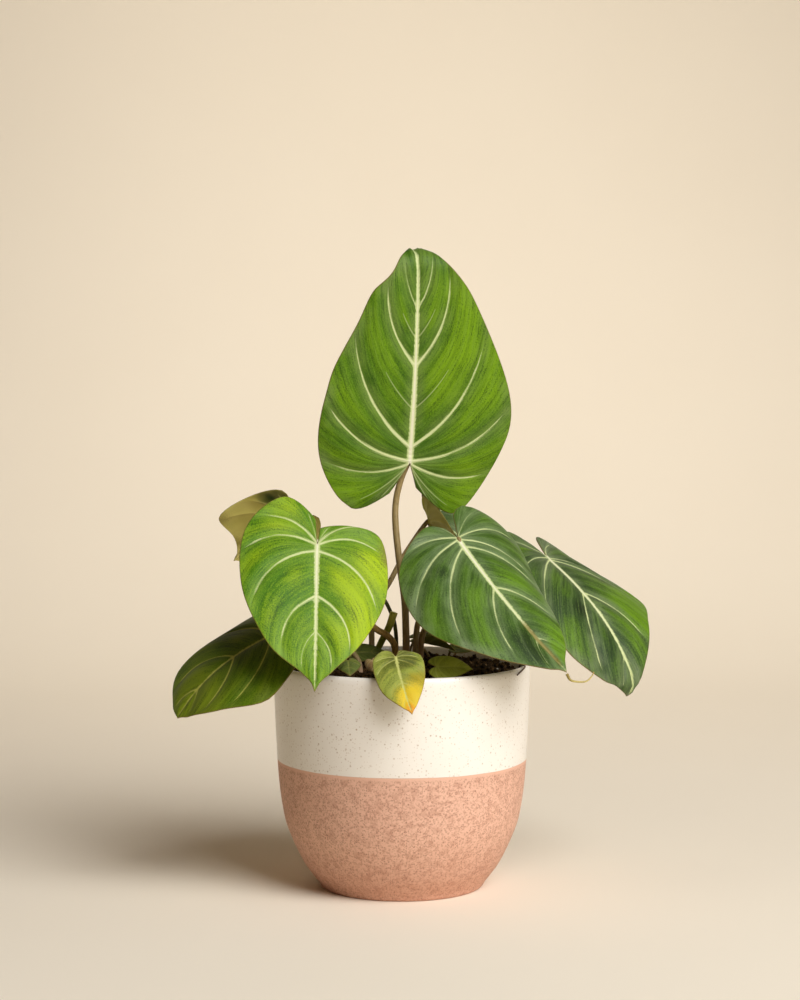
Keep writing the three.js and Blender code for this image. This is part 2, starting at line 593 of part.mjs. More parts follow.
const stalks = [];
for (const [number, leaf] of Object.entries(LEAVES)) {
  stalks.push({ foot: leaf.foot, radius: leaf.radii[0] });
  const sheet = bladeSheet(leaf, BLADE_ROWS, BLADE_STEPS);
  plant.add(meshFrom(`blade_${number}`, bodyFromSolid(bladeSolid(sheet)), 0x3f6b26, 0.5));
  const { up } = heldFrame(leaf);
  const end = add(leaf.junction, up, -leaf.under);
  const path = [...buriedStart(leaf.foot), ...leaf.via, end];
  const rings = 2 * (path.length - 1);
  plant.add(meshFrom(`stalk_${number}`, stalkBody(path, leaf.radii, rings), 0x7a5a42, 0.5));
}
for (const [number, young] of Object.entries(YOUNG)) {
  stalks.push({ foot: young.foot, radius: YOUNG_RADII[0] });
  plant.add(meshFrom(`young_leaf_${number}`, youngBody(young), 0x44581f, 0.55));
}
stalks.push({ foot: SHEATH.foot, radius: SHEATH.holeRadius });
const sheathPath = [...buriedStart(SHEATH.foot), ...SHEATH.via];
plant.add(meshFrom('sheath', stalkBody(sheathPath, SHEATH.radii, 12), 0x6f8a2a, 0.5));
plant.add(meshFrom('potting_mix', mixBody(stalks), 0x2a2118, 0.95));
const threadRadii = [THREAD_RADIUS, THREAD_RADIUS];
plant.add(meshFrom('dried_tip', stalkBody(DRIED_TIP, threadRadii, 10, 6), 0xc9b26a, 0.7));
plant.add(meshFrom('dried_tendril', stalkBody(TENDRIL, threadRadii, 10, 6), 0x6b5743, 0.8));

export default plant;
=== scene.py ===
# %% [markdown]
# # A potted velvet-leaved philodendron
# The object is a heart-leaved plant in a two-tone ceramic pot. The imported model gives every
# piece its place and size. This script makes the surfaces that a viewer sees: leaves with pale
# veins, brown stalks, speckled glaze and loose potting mix. Shapes are in millimetres and
# become metres when a mesh is made. The camera and the lights stand in metres.

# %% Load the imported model
import itertools
import math

import bpy
import numpy as np
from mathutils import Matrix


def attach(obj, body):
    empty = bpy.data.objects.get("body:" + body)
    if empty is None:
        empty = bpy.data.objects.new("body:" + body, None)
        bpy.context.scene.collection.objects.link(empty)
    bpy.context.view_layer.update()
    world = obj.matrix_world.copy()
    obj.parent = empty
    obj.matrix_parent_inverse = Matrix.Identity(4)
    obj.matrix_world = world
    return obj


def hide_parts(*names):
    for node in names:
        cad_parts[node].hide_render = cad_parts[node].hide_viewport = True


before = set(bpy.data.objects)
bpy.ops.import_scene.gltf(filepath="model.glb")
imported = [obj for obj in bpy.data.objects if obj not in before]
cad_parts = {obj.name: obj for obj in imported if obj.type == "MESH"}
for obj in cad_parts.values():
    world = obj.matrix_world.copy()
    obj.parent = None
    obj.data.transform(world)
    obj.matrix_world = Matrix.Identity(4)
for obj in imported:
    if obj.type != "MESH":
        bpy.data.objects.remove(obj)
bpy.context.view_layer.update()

scene = bpy.context.scene
scene.view_settings.view_transform = "Standard"
MM = 0.001
DEGREE = math.pi / 180
print("pieces in the packed model:", len(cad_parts))

# %% [markdown]
# ## Camera
# A product photograph is taken from some way off with a long lens, so that the pot's sides stay
# nearly parallel. The ellipses of the rim and of the glaze line give the camera's height and
# tilt, and their size gives its distance: 1.4 m, a little below the top of the plant.

# %% Camera
CAMERA_PLACE = (-0.00108, -1.4, 0.3147)
CAMERA_TURN = 86.37  # degrees up from looking straight down
CAMERA_LENS = 86.76
camera_data = bpy.data.cameras.new("camera")
camera_data.sensor_width = 36
camera_data.lens = CAMERA_LENS
camera = bpy.data.objects.new("camera", camera_data)
camera.location = CAMERA_PLACE
camera.rotation_euler = (CAMERA_TURN * DEGREE, 0, 0)
scene.collection.objects.link(camera)
scene.camera = camera
print("camera looks down", round(90 - CAMERA_TURN, 2), "degrees")

# %% [markdown]
# ## Making meshes
# Every new piece is worked out with numpy as whole arrays of points, and a mesh takes the
# arrays in one go. A surface that is a function of two parameters becomes a grid of points,
# and each grid cell becomes two triangles, split along its shorter diagonal.


# %% Meshes from arrays
WELD = 1e-4  # points closer than this become one


def welded(points):
    """Points that coincide become one: the kept points, each old point's number, and the first
    old point of each kept one."""
    keys = np.round(points / WELD).astype(np.int64)
    _, first, number = np.unique(keys, axis=0, return_index=True, return_inverse=True)
    return points[first], number.reshape(-1), first


def grid_triangles(points, numbers):
    """Two triangles for each cell of a grid of point numbers. A side of no length gives none."""
    corners = [numbers[:-1, :-1], numbers[1:, :-1], numbers[1:, 1:], numbers[:-1, 1:]]
    a, b, c, d = (corner.reshape(-1) for corner in corners)
    one_way = np.linalg.norm(points[a] - points[c], axis=1)
    other_way = np.linalg.norm(points[b] - points[d], axis=1)
    short = (one_way <= other_way)[:, None]
    first = np.where(short, np.stack([a, b, c], 1), np.stack([a, b, d], 1))
    second = np.where(short, np.stack([a, c, d], 1), np.stack([b, c, d], 1))
    triangles = np.concatenate([first, second])
    x, y, z = triangles.T
    return triangles[(x != y) & (y != z) & (z != x)]


def point_normals(points, triangles):
    """Each point's normal: the sum of its triangles' cross products, made one long."""
    p, q, r = (points[triangles[:, k]] for k in range(3))
    face = np.cross(q - p, r - p)
    total = np.zeros_like(points)
    for k in range(3):
        np.add.at(total, triangles[:, k], face)
    return total / np.maximum(np.linalg.norm(total, axis=1, keepdims=True), 1e-12)


print("points closer than", WELD, "mm become one")


# %% Pieces from meshes
def add_mesh(name, points, triangles, material):
    """An object with a smooth mesh of these points in millimetres."""
    mesh = bpy.data.meshes.new(name)
    mesh.vertices.add(len(points))
    mesh.vertices.foreach_set("co", (points * MM).astype(np.float32).ravel())
    mesh.loops.add(3 * len(triangles))
    mesh.loops.foreach_set("vertex_index", triangles.astype(np.int32).ravel())
    mesh.polygons.add(len(triangles))
    mesh.polygons.foreach_set("loop_start", np.arange(0, 3 * len(triangles), 3, dtype=np.int32))
    mesh.update(calc_edges=True)
    mesh.shade_smooth()
    mesh.materials.append(material)
    thing = bpy.data.objects.new(name, mesh)
    scene.collection.objects.link(thing)
    return thing


def add_piece(name, points, triangles, material, replaces=()):
    """A piece of the plant or its pot, which stands for the nodes that it replaces."""
    piece = add_mesh(name, points, triangles, material)
    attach(piece, "root")
    if replaces:
        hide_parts(*replaces)
    return piece


def add_surface(name, surface, material, replaces=()):
    """A piece from a grid of points, welded where they coincide, and the old points it kept."""
    points, number, first = welded(surface.reshape(-1, 3))
    triangles = grid_triangles(points, number.reshape(surface.shape[:2]))[:, ::-1]
    return add_piece(name, points, triangles, material, replaces), first


def add_values(piece, **columns):
    """Numbers at every point of a piece, which its material reads by name."""
    for name, values in columns.items():
        kind, key = ("FLOAT", "value") if values.ndim == 1 else ("FLOAT_VECTOR", "vector")
        column = piece.data.attributes.new(name, kind, "POINT")
        column.data.foreach_set(key, values.astype(np.float32).ravel())


print("pieces so far:", len(bpy.data.meshes) - len(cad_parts))

# %% [markdown]
# ## Writing materials
# A material here is a node tree. Its nodes could be placed and linked one by one, but written
# as arithmetic they are far easier to read. So one small class stands for a number, place or
# colour that varies over the surface, and each sign between numbers adds a Math node. A second
# class holds the tree and adds any other node from its type, settings and sockets.


# %% Numbers that vary over a surface
class Varying:
    """A number, place or colour that varies over a surface. Arithmetic is for numbers alone,
    and adds Math nodes."""

    def __init__(self, recipe, socket):
        self.recipe, self.socket = recipe, socket

    def math(self, operation, first, second):
        sockets = {0: first, 1: second}
        return self.recipe.add("ShaderNodeMath", {"operation": operation}, sockets)

    def __add__(self, other):
        return self.math("ADD", self, other)

    def __sub__(self, other):
        return self.math("SUBTRACT", self, other)

    def __rsub__(self, other):
        return self.math("SUBTRACT", other, self)

    def __mul__(self, other):
        return self.math("MULTIPLY", self, other)

    __radd__ = __add__
    __rmul__ = __mul__

    def sine(self):
        return self.math("SINE", self, 0)

    def over(self, low, high):
        """0 where the number is at low or beyond it, 1 at high, with soft ends."""
        sockets = {"Value": self, "From Min": low, "From Max": high}
        settings = {"interpolation_type": "SMOOTHSTEP"}
        return self.recipe.add("ShaderNodeMapRange", settings, sockets)

    def noise(self, scale, detail=3, roughness=0.55):
        """Soft noise from 0 to 1 at this place."""
        sockets = {"Vector": self, "Scale": scale, "Detail": detail, "Roughness": roughness}
        return self.recipe.add("ShaderNodeTexNoise", {}, sockets, "Fac")

    def cells(self, scale, output="Distance"):
        """Distance to the middle of the nearest of many random cells, or the cell's colour."""
        sockets = {"Vector": self, "Scale": scale}
        return self.recipe.add("ShaderNodeTexVoronoi", {}, sockets, output)

    def stretched(self, scale):
        """This place with its three axes scaled."""
        return self.recipe.add("ShaderNodeMapping", {}, {"Vector": self, "Scale": scale})

    def part(self, axis):
        """One axis of a place or colour."""
        return self.recipe.add("ShaderNodeSeparateXYZ", {}, {"Vector": self}, axis)


# %% The node tree of a material
class Recipe:
    """The node tree of one material."""

    def __init__(self, name, **constants):
        self.material = bpy.data.materials.new(name)
        self.material.use_nodes = True
        self.tree = self.material.node_tree
        self.shader = self.tree.nodes["Principled BSDF"]
        for socket, value in constants.items():
            self.shader.inputs[socket.replace("_", " ")].default_value = value

    def add(self, kind, settings, sockets, output=0):
        """A node of this kind. Settings come first, then each socket's value or link."""
        node = self.tree.nodes.new(kind)
        for name, value in settings.items():
            setattr(node, name, value)
        for key, value in sockets.items():
            if isinstance(value, Varying):
                self.tree.links.new(value.socket, node.inputs[key])
            else:
                node.inputs[key].default_value = value
        return Varying(self, node.outputs[output])

    def set(self, socket, value):
        """Links a value that varies to a socket of the shader."""
        self.tree.links.new(value.socket, self.shader.inputs[socket])

    def place(self):
        """Where a point is on the piece, in metres."""
        return self.add("ShaderNodeTexCoord", {}, {}, "Object")

    def value(self, name, output="Fac"):
        """A number or vector kept at the piece's points."""
        return self.add("ShaderNodeAttribute", {"attribute_name": name}, {}, output)

    def coats(self, colour, *coats):
        """A colour with coats over it, each given by its cover from 0 to 1 and its colour."""
        settings = {"data_type": "RGBA", "clamp_factor": True}
        for cover, coat in coats:
            sockets = {0: cover, 6: paint(colour), 7: paint(coat)}
            colour = self.add("ShaderNodeMix", settings, sockets, 2)
        return colour

    def bump(self, height, strength):
        """Relief of 1 mm where the height goes from 0 to 1, times the strength."""
        sockets = {"Height": height, "Strength": strength, "Distance": MM}
        self.set("Normal", self.add("ShaderNodeBump", {}, sockets))


def paint(colour):
    """Red, green and blue as on a screen, 0 to 255, as the linear light that shaders use.
    A colour that varies is that already."""
    if isinstance(colour, Varying):
        return colour
    return tuple((value / 255) ** 2.2 for value in colour) + (1,)


print("half-bright grey as linear light:", round(paint((128, 128, 128))[0], 3))

# %% [markdown]
# ## Stage
# The plant stands on a pale sweep: a floor that bends up into a wall. It could be two planes,
# but a rounded bend has no hard line behind the pot. It is a profile carried along X.

# %% Stage
FLOOR_FRONT, BEND_FROM, BEND_RADIUS, WALL_TOP = -12000, 760, 900, 3200
SWEEP_HALF_WIDTH, SWEEP_COLUMNS = 12000, 9
BEND_STEPS = 24


def sweep_profile():
    """Depth and height along the sweep: flat, a quarter circle, then upright."""
    angles = np.linspace(0, math.pi / 2, BEND_STEPS)
    depth = BEND_FROM + BEND_RADIUS * np.sin(angles)
    bend = np.stack([depth, BEND_RADIUS * (1 - np.cos(angles))], 1)
    return np.concatenate([[[FLOOR_FRONT, 0]], bend, [[BEND_FROM + BEND_RADIUS, WALL_TOP]]])


profile = sweep_profile()
width = np.linspace(-SWEEP_HALF_WIDTH, SWEEP_HALF_WIDTH, SWEEP_COLUMNS)
sweep = np.zeros((len(profile), len(width), 3))
sweep[..., 0] = width
sweep[..., 1:] = profile[:, None]
recipe = Recipe("sweep_paper", Roughness=0.9)
grain = recipe.place().noise(3, 2)
recipe.set("Base Color", recipe.coats((246, 233, 209), (grain, (250, 238, 215))))
points = sweep.reshape(-1, 3)
triangles = grid_triangles(points, np.arange(len(points)).reshape(sweep.shape[:2]))
backdrop = add_mesh("sweep", points, triangles[:, ::-1], recipe.material)
print("sweep points:", len(points))

# %% [markdown]
# ## Light
# The photograph has one soft key light from the right and above the camera, so the pot's left
# side and the floor to its left lie in shade. A lower, weaker light beside it lifts the shade
# under the leaves, a third one lights the wall behind, and a dim warm world fills the rest. One
# light could do, but then the wall goes grey and the undersides black.


# %% Lights
def add_light(name, place, aim, size, power, colour, spread):
    """A square soft light at a place, turned to look at its aim."""
    data = bpy.data.lights.new(name, "AREA")
    data.size, data.energy, data.color, data.spread = size, power, colour, spread * DEGREE
    light = bpy.data.objects.new(name, data)
    light.location = place
    way = np.subtract(aim, place)
    light.rotation_euler = (
        math.atan2(math.hypot(way[0], way[1]), -way[2]),
        0,
        math.atan2(way[1], way[0]) - math.pi / 2,
    )
    scene.collection.objects.link(light)


LIGHTS = {
    "key": dict(place=(1.23, -1.47, 1.7), aim=(-0.1, -0.1, 0.15), size=1.7, power=28.5,
                colour=(0.98, 1, 1.05), spread=110),
    "low": dict(place=(1.3, -1.5, 0.5), aim=(0, 0, 0.1), size=1.2, power=3.2,
                colour=(1, 0.97, 0.92), spread=110),
    "wall": dict(place=(-0.5, 0.4, 1.8), aim=(0.25, 1.4, 0.3), size=0.8, power=3.2,
                 colour=(1, 0.94, 0.87), spread=80),
}
for name, values in LIGHTS.items():
    add_light(name, **values)
world = bpy.data.worlds.new("studio")
world.use_nodes = True
glow = world.node_tree.nodes["Background"].inputs
glow["Color"].default_value = (1, 0.58, 0.28, 1)
glow["Strength"].default_value = 0.05
scene.world = world
print("lights:", len(bpy.data.lights))

# %% [markdown]
# ## Pot
# The pot is slip-cast stoneware: one wall with a soft shoulder at the foot and a rounded rim,
# dipped in a cream glaze down to a line. It could be a cylinder with bevels, but a profile
# turned about the axis gives every curve of the wall at once, inside and out.

# %% Pot shape
# Each point of a profile is its distance from the axis and its height.
POT_OUTSIDE = [
    [46.5, 0], [47.8, 0.8], [49.4, 3.5], [53.2, 8.5], [57.6, 14.7], [63.4, 26.5], [67.9, 38.2],
    [70.3, 50], [71.8, 61.8], [72.7, 73.5], [73.4, 85.3], [74.4, 108], [75, 127],
]
POT_RIM = [[75, 129.6], [74.3, 130.9], [73.2, 131.3], [72.1, 130.9], [71.4, 129.6]]
POT_INSIDE = [
    [70.7, 108], [69.7, 85.3], [68.1, 61.8], [64.2, 38.2], [59.6, 26.5], [50, 12], [42, 7],
]
POT_FLOOR = 6
POT_COUNTS = (70, 14, 30)  # points along the outside, the rim and the inside
POT_SEGMENTS = 160


def curve_through(points, t):
    """Smooth curve through evenly timed points, at t from 0 to 1. It is a cubic between each two
    points, and its slope at a point is half the way from the point before to the one after."""
    points = np.asarray(points, float)
    last = len(points) - 1
    place = np.clip(t, 0, 1) * last
    i = np.minimum(np.floor(place).astype(int), last - 1)
    w = (place - i)[..., None]
    padded = np.concatenate([[2 * points[0] - points[1]], points, [2 * points[-1] - points[-2]]])
    p0, p1, p2, p3 = padded[i], padded[i + 1], padded[i + 2], padded[i + 3]
    return 0.5 * (
        2 * p1
        + (p2 - p0) * w
        + (2 * p0 - 5 * p1 + 4 * p2 - p3) * w**2
        + (3 * p1 - p0 - 3 * p2 + p3) * w**3
    )


def turned(profile, segments):
    """Surface of a profile of [radius, height] turned about the upright axis."""
    angle = np.linspace(0, 2 * math.pi, segments + 1)
    radius, height = profile[:, :1], profile[:, 1:]
    around = [radius * np.cos(angle), radius * np.sin(angle), height + 0 * angle]
    return np.stack(around, -1)


def pot_profile():
    """Outside from the foot to the rim, the rim, and the inside down to the floor."""
    corners = [POT_OUTSIDE, POT_RIM, POT_INSIDE]
    runs = [curve_through(c, np.linspace(0, 1, n)) for c, n in zip(corners, POT_COUNTS)]
    return np.concatenate([[[0, 0]], *runs, [[0, POT_FLOOR]]])


print("points in the pot's profile:", len(pot_profile()))

# %% [markdown]
# ### Glaze and bare clay
# The cream glaze is satin, with tiny iron specks that burn through it. Below the line the clay
# is pink-brown, peppered with dark specks, and dry to the touch. Two materials could share the
# pot's faces, but then the line would be as straight as the faces are. So one material makes
# both, and the height of a point chooses between them, with a slightly wavering line.

# %% Pot material
GLAZE_LINE = 75.3
LINE_WAVER = 1


def speckle(where, scale, size, share):
    """Round specks: 1 in the middle of some of the cells of a cell pattern, 0 elsewhere."""
    chance = where.cells(scale, "Color").part("X")
    return where.cells(scale).over(size, size * 0.5) * chance.over(share, share * 0.9)


def pot_material():
    recipe = Recipe("glazed_stoneware", Coat_Roughness=0.25, IOR=1.5)
    where = recipe.place()
    height = where.part("Z")
    line = (GLAZE_LINE - LINE_WAVER / 2) * MM + where.noise(24, 2) * (LINE_WAVER * MM)
    glazed = (height - line).over(-0.1 * MM, 0.1 * MM)
    bare = (line - height).over(0.8 * MM, 2.6 * MM)
    cloud, fine = where.noise(38, 4), where.noise(900)
    small, tiny = speckle(where, 380, 0.26, 0.45), speckle(where, 760, 0.36, 0.4)
    cream = recipe.coats(
        (235, 226, 211),
        (cloud, (243, 236, 223)),
        (small * cloud, (164, 132, 90)),
        (tiny * cloud * 0.7, (176, 146, 108)),
    )
    # Painted shade: the clay is painted darker towards the foot, where the wall turns under.
    foot = height.over(36 * MM, 4 * MM)
    mottle = where.noise(210, 4, 0.7).over(0.46, 0.62)
    grit = where.noise(820, 3, 0.65).over(0.48, 0.62)
    pepper = speckle(where, 900, 0.5, 0.3)
    clay = recipe.coats(
        (219, 169, 142),
        (cloud, (231, 185, 158)),
        (foot * 0.5, (188, 134, 108)),
        (mottle * bare * 0.3, (160, 104, 78)),
        (grit * bare * 0.5, (160, 106, 82)),
        (pepper * bare * 0.5, (130, 82, 60)),
    )
    recipe.set("Base Color", recipe.coats(clay, (glazed, cream)))
    recipe.set("Roughness", 0.62 - glazed * 0.3 + fine * 0.08)
    recipe.set("Coat Weight", glazed * 0.35)
    recipe.bump(glazed * 0.25 + fine * 0.05 + pepper * (1 - glazed) * -0.06, 0.6)
    return recipe.material


wall = turned(pot_profile(), POT_SEGMENTS)
pot, _ = add_surface("pot_glazed", wall, pot_material(), ["pot"])
print("pot triangles:", len(pot.data.polygons))

# %% [markdown]
# ## How a leaf is shaped
# A blade of this plant is a heart with a pale midrib and side veins that arch forward to the
# margin. It could be a flat card bent by hand, but the veins have to run with the shape. So the
# surface is a function of two parameters: c, from 0 at the notch to 1 at the tip, and b, from 0
# at the midrib to 1 at the margin. Lines of equal c are the paths of the veins. The flat shape
# is then bent: the midrib droops and twists, each half folds and curls, and the blade rises
# between its veins.

# %% Values of the eight grown leaves
HEART_VEINS = [
    [0.2, 0.2, 0], [0.34, 0.34, 0], [0.47, 0.47, 0.02],
    [0.6, 0.6, 0.06], [0.78, 0.78, 0.48], [0.9, 0.9, 0.74],
]

# What most leaves share. fine: fine veins by their end on the margin and their reach; drip:
# where the drip tip starts and how far it is pinched; ruffle: for a side, dents and swellings
# of the margin by place, reach and rise; glow and aged: soft patches by place, reach and
# strength. Glow paints the green lighter or darker: partly a yellower tone of its own, partly
# painted light and painted shade where folds and the lamp light or shade the blade. Aged is
# where the leaf yellows or turns brown.
HABIT = dict(
    sweep=0, twist=0, lobePitch=0, bend=25, tipCurl=0, tipStart=0.85, waves=3,
    veins=HEART_VEINS, sideVeins=(0.4, 0.8, 1, 1, 0.9, 0.5), veinSize=1, drip=(0.88, 0.25),
    fine=[], ruffle={}, glow=[], aged=[],
)
# Names as in the model: junction of stalk and blade; heading, pitch, roll; droop, sweep and
# twist of the midrib; fold and curl of the left and right half; knots of the left and right
# margin; veins by their two ends on the margin and their start on the midrib; foot, via,
# radii and under for the stalk: where it stands, its way, how thick, how far below the blade.
LEAVES = {
    1: dict(
        HABIT, junction=[4.5, 4, 247], heading=107, pitch=104, roll=0,
        length=139, halfWidth=56, droop=-10, sweep=-2, twist=-3, fold=[5, 6], curl=[-13, -11],
        tipCurl=-120, tipStart=0.8, quilt=1.5, wave=1.2, waves=4,
        left=[[-18, 11], [-26, 35], [3, 54], [44, 53], [95, 31], [116, 14]],
        right=[[-15, 5], [-30, 31], [5, 55], [41, 59], [96, 34], [122, 14]],
        veins=[[0.2, 0.2, 0], [0.43, 0.39, 0], [0.56, 0.55, 0.01], [0.67, 0.67, 0.07],
               [0.82, 0.82, 0.42], [0.91, 0.9, 0.66]],
        foot=[2.6, 2], radii=[2.3, 1.8], under=2.4,
        via=[[2.4, 2, 148], [1.6, 3, 167], [-1.4, 5, 189], [-3.7, 8, 211], [-3.4, 10, 225],
             [-0.3, 9.5, 238]],
        sideVeins=(0.4, 0.8, 1, 1, 0.9, 0.3), fine=[(0.3, 0.8), (0.74, 0.4), (0.86, 0.4)],
        ruffle={-1: [(0.3, 0.02, -1.5), (0.61, 0.025, 1), (0.68, 0.03, -1.5), (0.76, 0.03, 2.5)]},
        glow=[(67, 35, 22, 0.5), (102, 19, 16, 0.5), (-11, 38, 16, 0.6), (-9, -36, 16, 0.4),
              (38, 28, 12, 0.3)],
    ),
    2: dict(
        HABIT, junction=[-47.9, -42, 203.6], heading=-90, pitch=-56, roll=-8,
        length=88, halfWidth=43, droop=-22, sweep=-2, twist=1, fold=[3, 8], curl=[-21, -15],
        lobePitch=2, bend=35, quilt=1.3, wave=0.8,
        left=[[-10, 1.2], [-13.5, 20], [-6, 38], [28, 41], [58, 27], [76, 10]],
        right=[[-16, 1], [-28, 20], [-7, 41], [30, 42], [62, 27], [78, 7]],
        veins=[[0.2, 0.2, 0], [0.35, 0.39, 0], [0.48, 0.49, 0.01], [0.64, 0.63, 0.05],
               [0.78, 0.77, 0.37], [0.87, 0.86, 0.61]],
        foot=[-3.6, -4.6], radii=[2.2, 1.7], under=1.8,
        via=[[-4.5, -6, 142], [-9, -9, 148], [-17, -15, 154], [-33, -27, 174], [-44, -35, 194]],
        sideVeins=(0.3, 0.9, 0.9, 1, 1, 0.3), drip=(0.86, 0.4),
        glow=[(55, -28, 18, 0.8), (20, -28, 16, 0.6), (5, -37, 12, 0.4), (-14, 20, 12, 0.4),
              (31, 26, 14, -0.3)],
        aged=[(-2, -40, 8, -0.6), (8, -41, 6, -0.5)],
    ),
    3: dict(
        HABIT, junction=[-68, 18, 214.6], heading=144, pitch=-27, roll=37,
        length=47, halfWidth=30, droop=-27, sweep=3, twist=4, fold=[7, 8], curl=[-22, -20],
        lobePitch=3, quilt=1, wave=0.6,
        left=[[-8, 3], [-15, 18], [-1, 27], [25, 31], [34, 11], [40, 3]],
        right=[[-7, 4], [-13, 14], [0, 26], [18, 26], [34, 16], [44, 5]],
        foot=[-3, 5.5], radii=[1.3, 1], under=1.4,
        via=[[-3.6, 7, 148], [-6, 9, 158], [-14, 11, 171], [-36, 15, 189], [-60, 17, 206]],
        glow=[(-8, -18, 14, -2.5)], aged=[(28, -28, 9, -0.8), (38, -7, 9, -0.8)],
    ),
    4: dict(
        HABIT, junction=[-69.2, -28, 152.9], heading=194, pitch=-23, roll=-21,
        length=79, halfWidth=36, droop=-41, sweep=-8, twist=3, fold=[2, 5], curl=[-29, -24],
        bend=34, quilt=1.2, wave=0.7,
        left=[[-9, 5], [-16, 17], [0, 31], [31, 41], [59, 25], [73, 9]],
        right=[[-9, 5], [-16, 16], [0, 35], [27, 29], [60, 28], [75, 11]],
        veins=[[0.2, 0.2, 0], [0.34, 0.34, 0], [0.47, 0.47, 0.02], [0.69, 0.6, 0.08],
               [0.8, 0.8, 0.39], [0.9, 0.9, 0.74]],
        foot=[-24, -27], radii=[1.7, 1.4], under=1.8,
        via=[[-26, -27, 137], [-34, -27, 145], [-48, -27, 149], [-60, -27.5, 148.5]],
        veinSize=0.6, glow=[(65, -4, 24, 1)],
    ),
    5: dict(
        HABIT, junction=[32, -26, 205.5], heading=-48, pitch=-43, roll=19,
        length=104, halfWidth=46, droop=-7, sweep=-13, twist=10, fold=[3, 5], curl=[-51, -36],
        bend=22, quilt=1.4, wave=0.8,
        left=[[-16, 6], [-21, 22], [6, 50], [38, 38], [66, 27], [88, 16]],
        right=[[-9, 3], [-13, 17], [6, 43], [41, 50], [73, 33], [95, 11]],
        veins=[[0.31, 0.2, 0], [0.43, 0.38, 0], [0.57, 0.54, 0.01], [0.62, 0.67, 0.06],
               [0.75, 0.8, 0.37], [0.9, 0.9, 0.74]],
        foot=[8, -3.2], radii=[1.8, 1.6], under=1,
        via=[[8.4, -4, 148], [10.5, -6, 158], [18, -10, 176], [27, -17, 194]],
        sideVeins=(0.3, 0.6, 0.65, 0.65, 0.65, 0.15),
        glow=[(92, -12, 13, 1.4), (40, -10, 16, 0.4), (88, 7, 9, -1), (74, 9, 9, -0.8),
              (17, 22, 5, -0.9)],
        aged=[(along, 0, 1.8, -0.6) for along in range(66, 102, 2)],
    ),
    6: dict(
        HABIT, junction=[16.3, 36, 211], heading=12, pitch=-62, roll=14,
        length=74, halfWidth=28, droop=-8, fold=[24, 22], curl=[12, 12],
        bend=28, quilt=1.2, wave=0.6,
        left=[[-9, 3], [-17, 12], [-2, 25], [22, 27], [45, 20], [63, 8]],
        right=[[-9, 3], [-17, 12], [-2, 24], [22, 27], [45, 20], [63, 8]],
        foot=[-17.6, 17], radii=[1.9, 1.5], under=1.5,
        via=[[-17.8, 17, 142], [-17.6, 18, 153], [-15, 20, 164], [-7.6, 23.5, 175],
             [1.3, 29, 191]],
    ),
    7: dict(
        HABIT, junction=[85.8, 28, 190.5], heading=-39, pitch=-34, roll=-4,
        length=105, halfWidth=44, droop=-43, sweep=-6, twist=-29, fold=[1, 8], curl=[-19, -27],
        lobePitch=2, bend=24, tipCurl=-60, quilt=1.4, wave=0.9,
        left=[[-12, 6], [-20, 19], [6, 32], [43, 53], [65, 33], [94, 6]],
        right=[[-14, 3], [-22, 19], [1, 40], [35, 40], [67, 37], [97, 13]],
        veins=[[0.2, 0.2, 0], [0.34, 0.34, 0], [0.49, 0.49, 0.02], [0.6, 0.62, 0.03],
               [0.77, 0.82, 0.31], [0.9, 0.9, 0.74]],
        foot=[11, 4], radii=[1.9, 1.6], under=2,
        via=[[12, 4, 146], [18, 3, 156], [34, 2, 170], [58, 10, 181], [77, 24, 186]],
        sideVeins=(0.3, 0.5, 0.55, 0.6, 0.6, 0.1),
        glow=[(60, -34, 20, 1), (44, -50, 14, 0.8), (39, 24, 7, -0.9), (43, 14, 6, -0.9),
              (72, 12, 6, -0.6)],
    ),
    8: dict(
        HABIT, junction=[-3.5, -67, 142.8], heading=-79, pitch=-39, roll=3,
        length=40, halfWidth=16, droop=-19, sweep=-11, fold=[3, 3], curl=[-21, -21],
        lobePitch=-1, quilt=0.6, wave=0.3, waves=2,
        left=[[-4, 2], [-4, 7], [-1, 15], [12, 15], [24, 11], [34, 5]],
        right=[[-4, 2], [-5, 7], [1, 13], [12, 14], [24, 12], [34, 5]],
        foot=[-3.4, -40], radii=[1.3, 1.1], under=1.4,
        via=[[-3.4, -41, 134], [-3.4, -48, 138.8], [-3.5, -61, 141.2]],
        sideVeins=(0.1, 0.3, 0.4, 0.4, 0.3, 0.1), veinSize=0.7,
        glow=[(10, 8, 12, -0.5), (14, -8, 12, 0.8), (4, -5, 9, -1.7)],
        aged=[(29, -1, 8, 0.95), (24, -8, 6, 0.45), (38, 0, 5, 1.3)],
    ),
}
print("grown leaves:", len(LEAVES))


# %% Frame and midrib of a blade
LOBE_ZONE, LOBE_SPAN = 0.5, 0.2  # the back lobes in lengths: room for them, and their usual size
DROOP_POWER = 1.5
MIDRIB_STEPS = 301


def smooth(x):
    """0 below 0, 1 above 1, and 3x squared less 2x cubed between."""
    x = np.clip(x, 0, 1)
    return x * x * (3 - 2 * x)


def held_frame(leaf):
    """Directions of a held blade: along the midrib, to its right, out of its upper side. The
    heading turns them about the upright axis, the pitch raises the midrib, and the roll turns
    the blade about its midrib."""
    h, p, r = (leaf[key] * DEGREE for key in ("heading", "pitch", "roll"))
    along = np.array([math.cos(h) * math.cos(p), math.sin(h) * math.cos(p), math.sin(p)])
    level = np.array([-math.cos(h) * math.sin(p), -math.sin(h) * math.sin(p), math.cos(p)])
    side = np.cross(along, level)
    up = level * math.cos(r) + side * math.sin(r)
    right = side * math.cos(r) - level * math.sin(r)
    return along, right, up


def direction(rise, yaw):
    """Directions that rise by one angle and are turned aside by the other."""
    return np.stack([np.cos(rise) * np.cos(yaw), np.cos(rise) * np.sin(yaw), np.sin(rise)], -1)


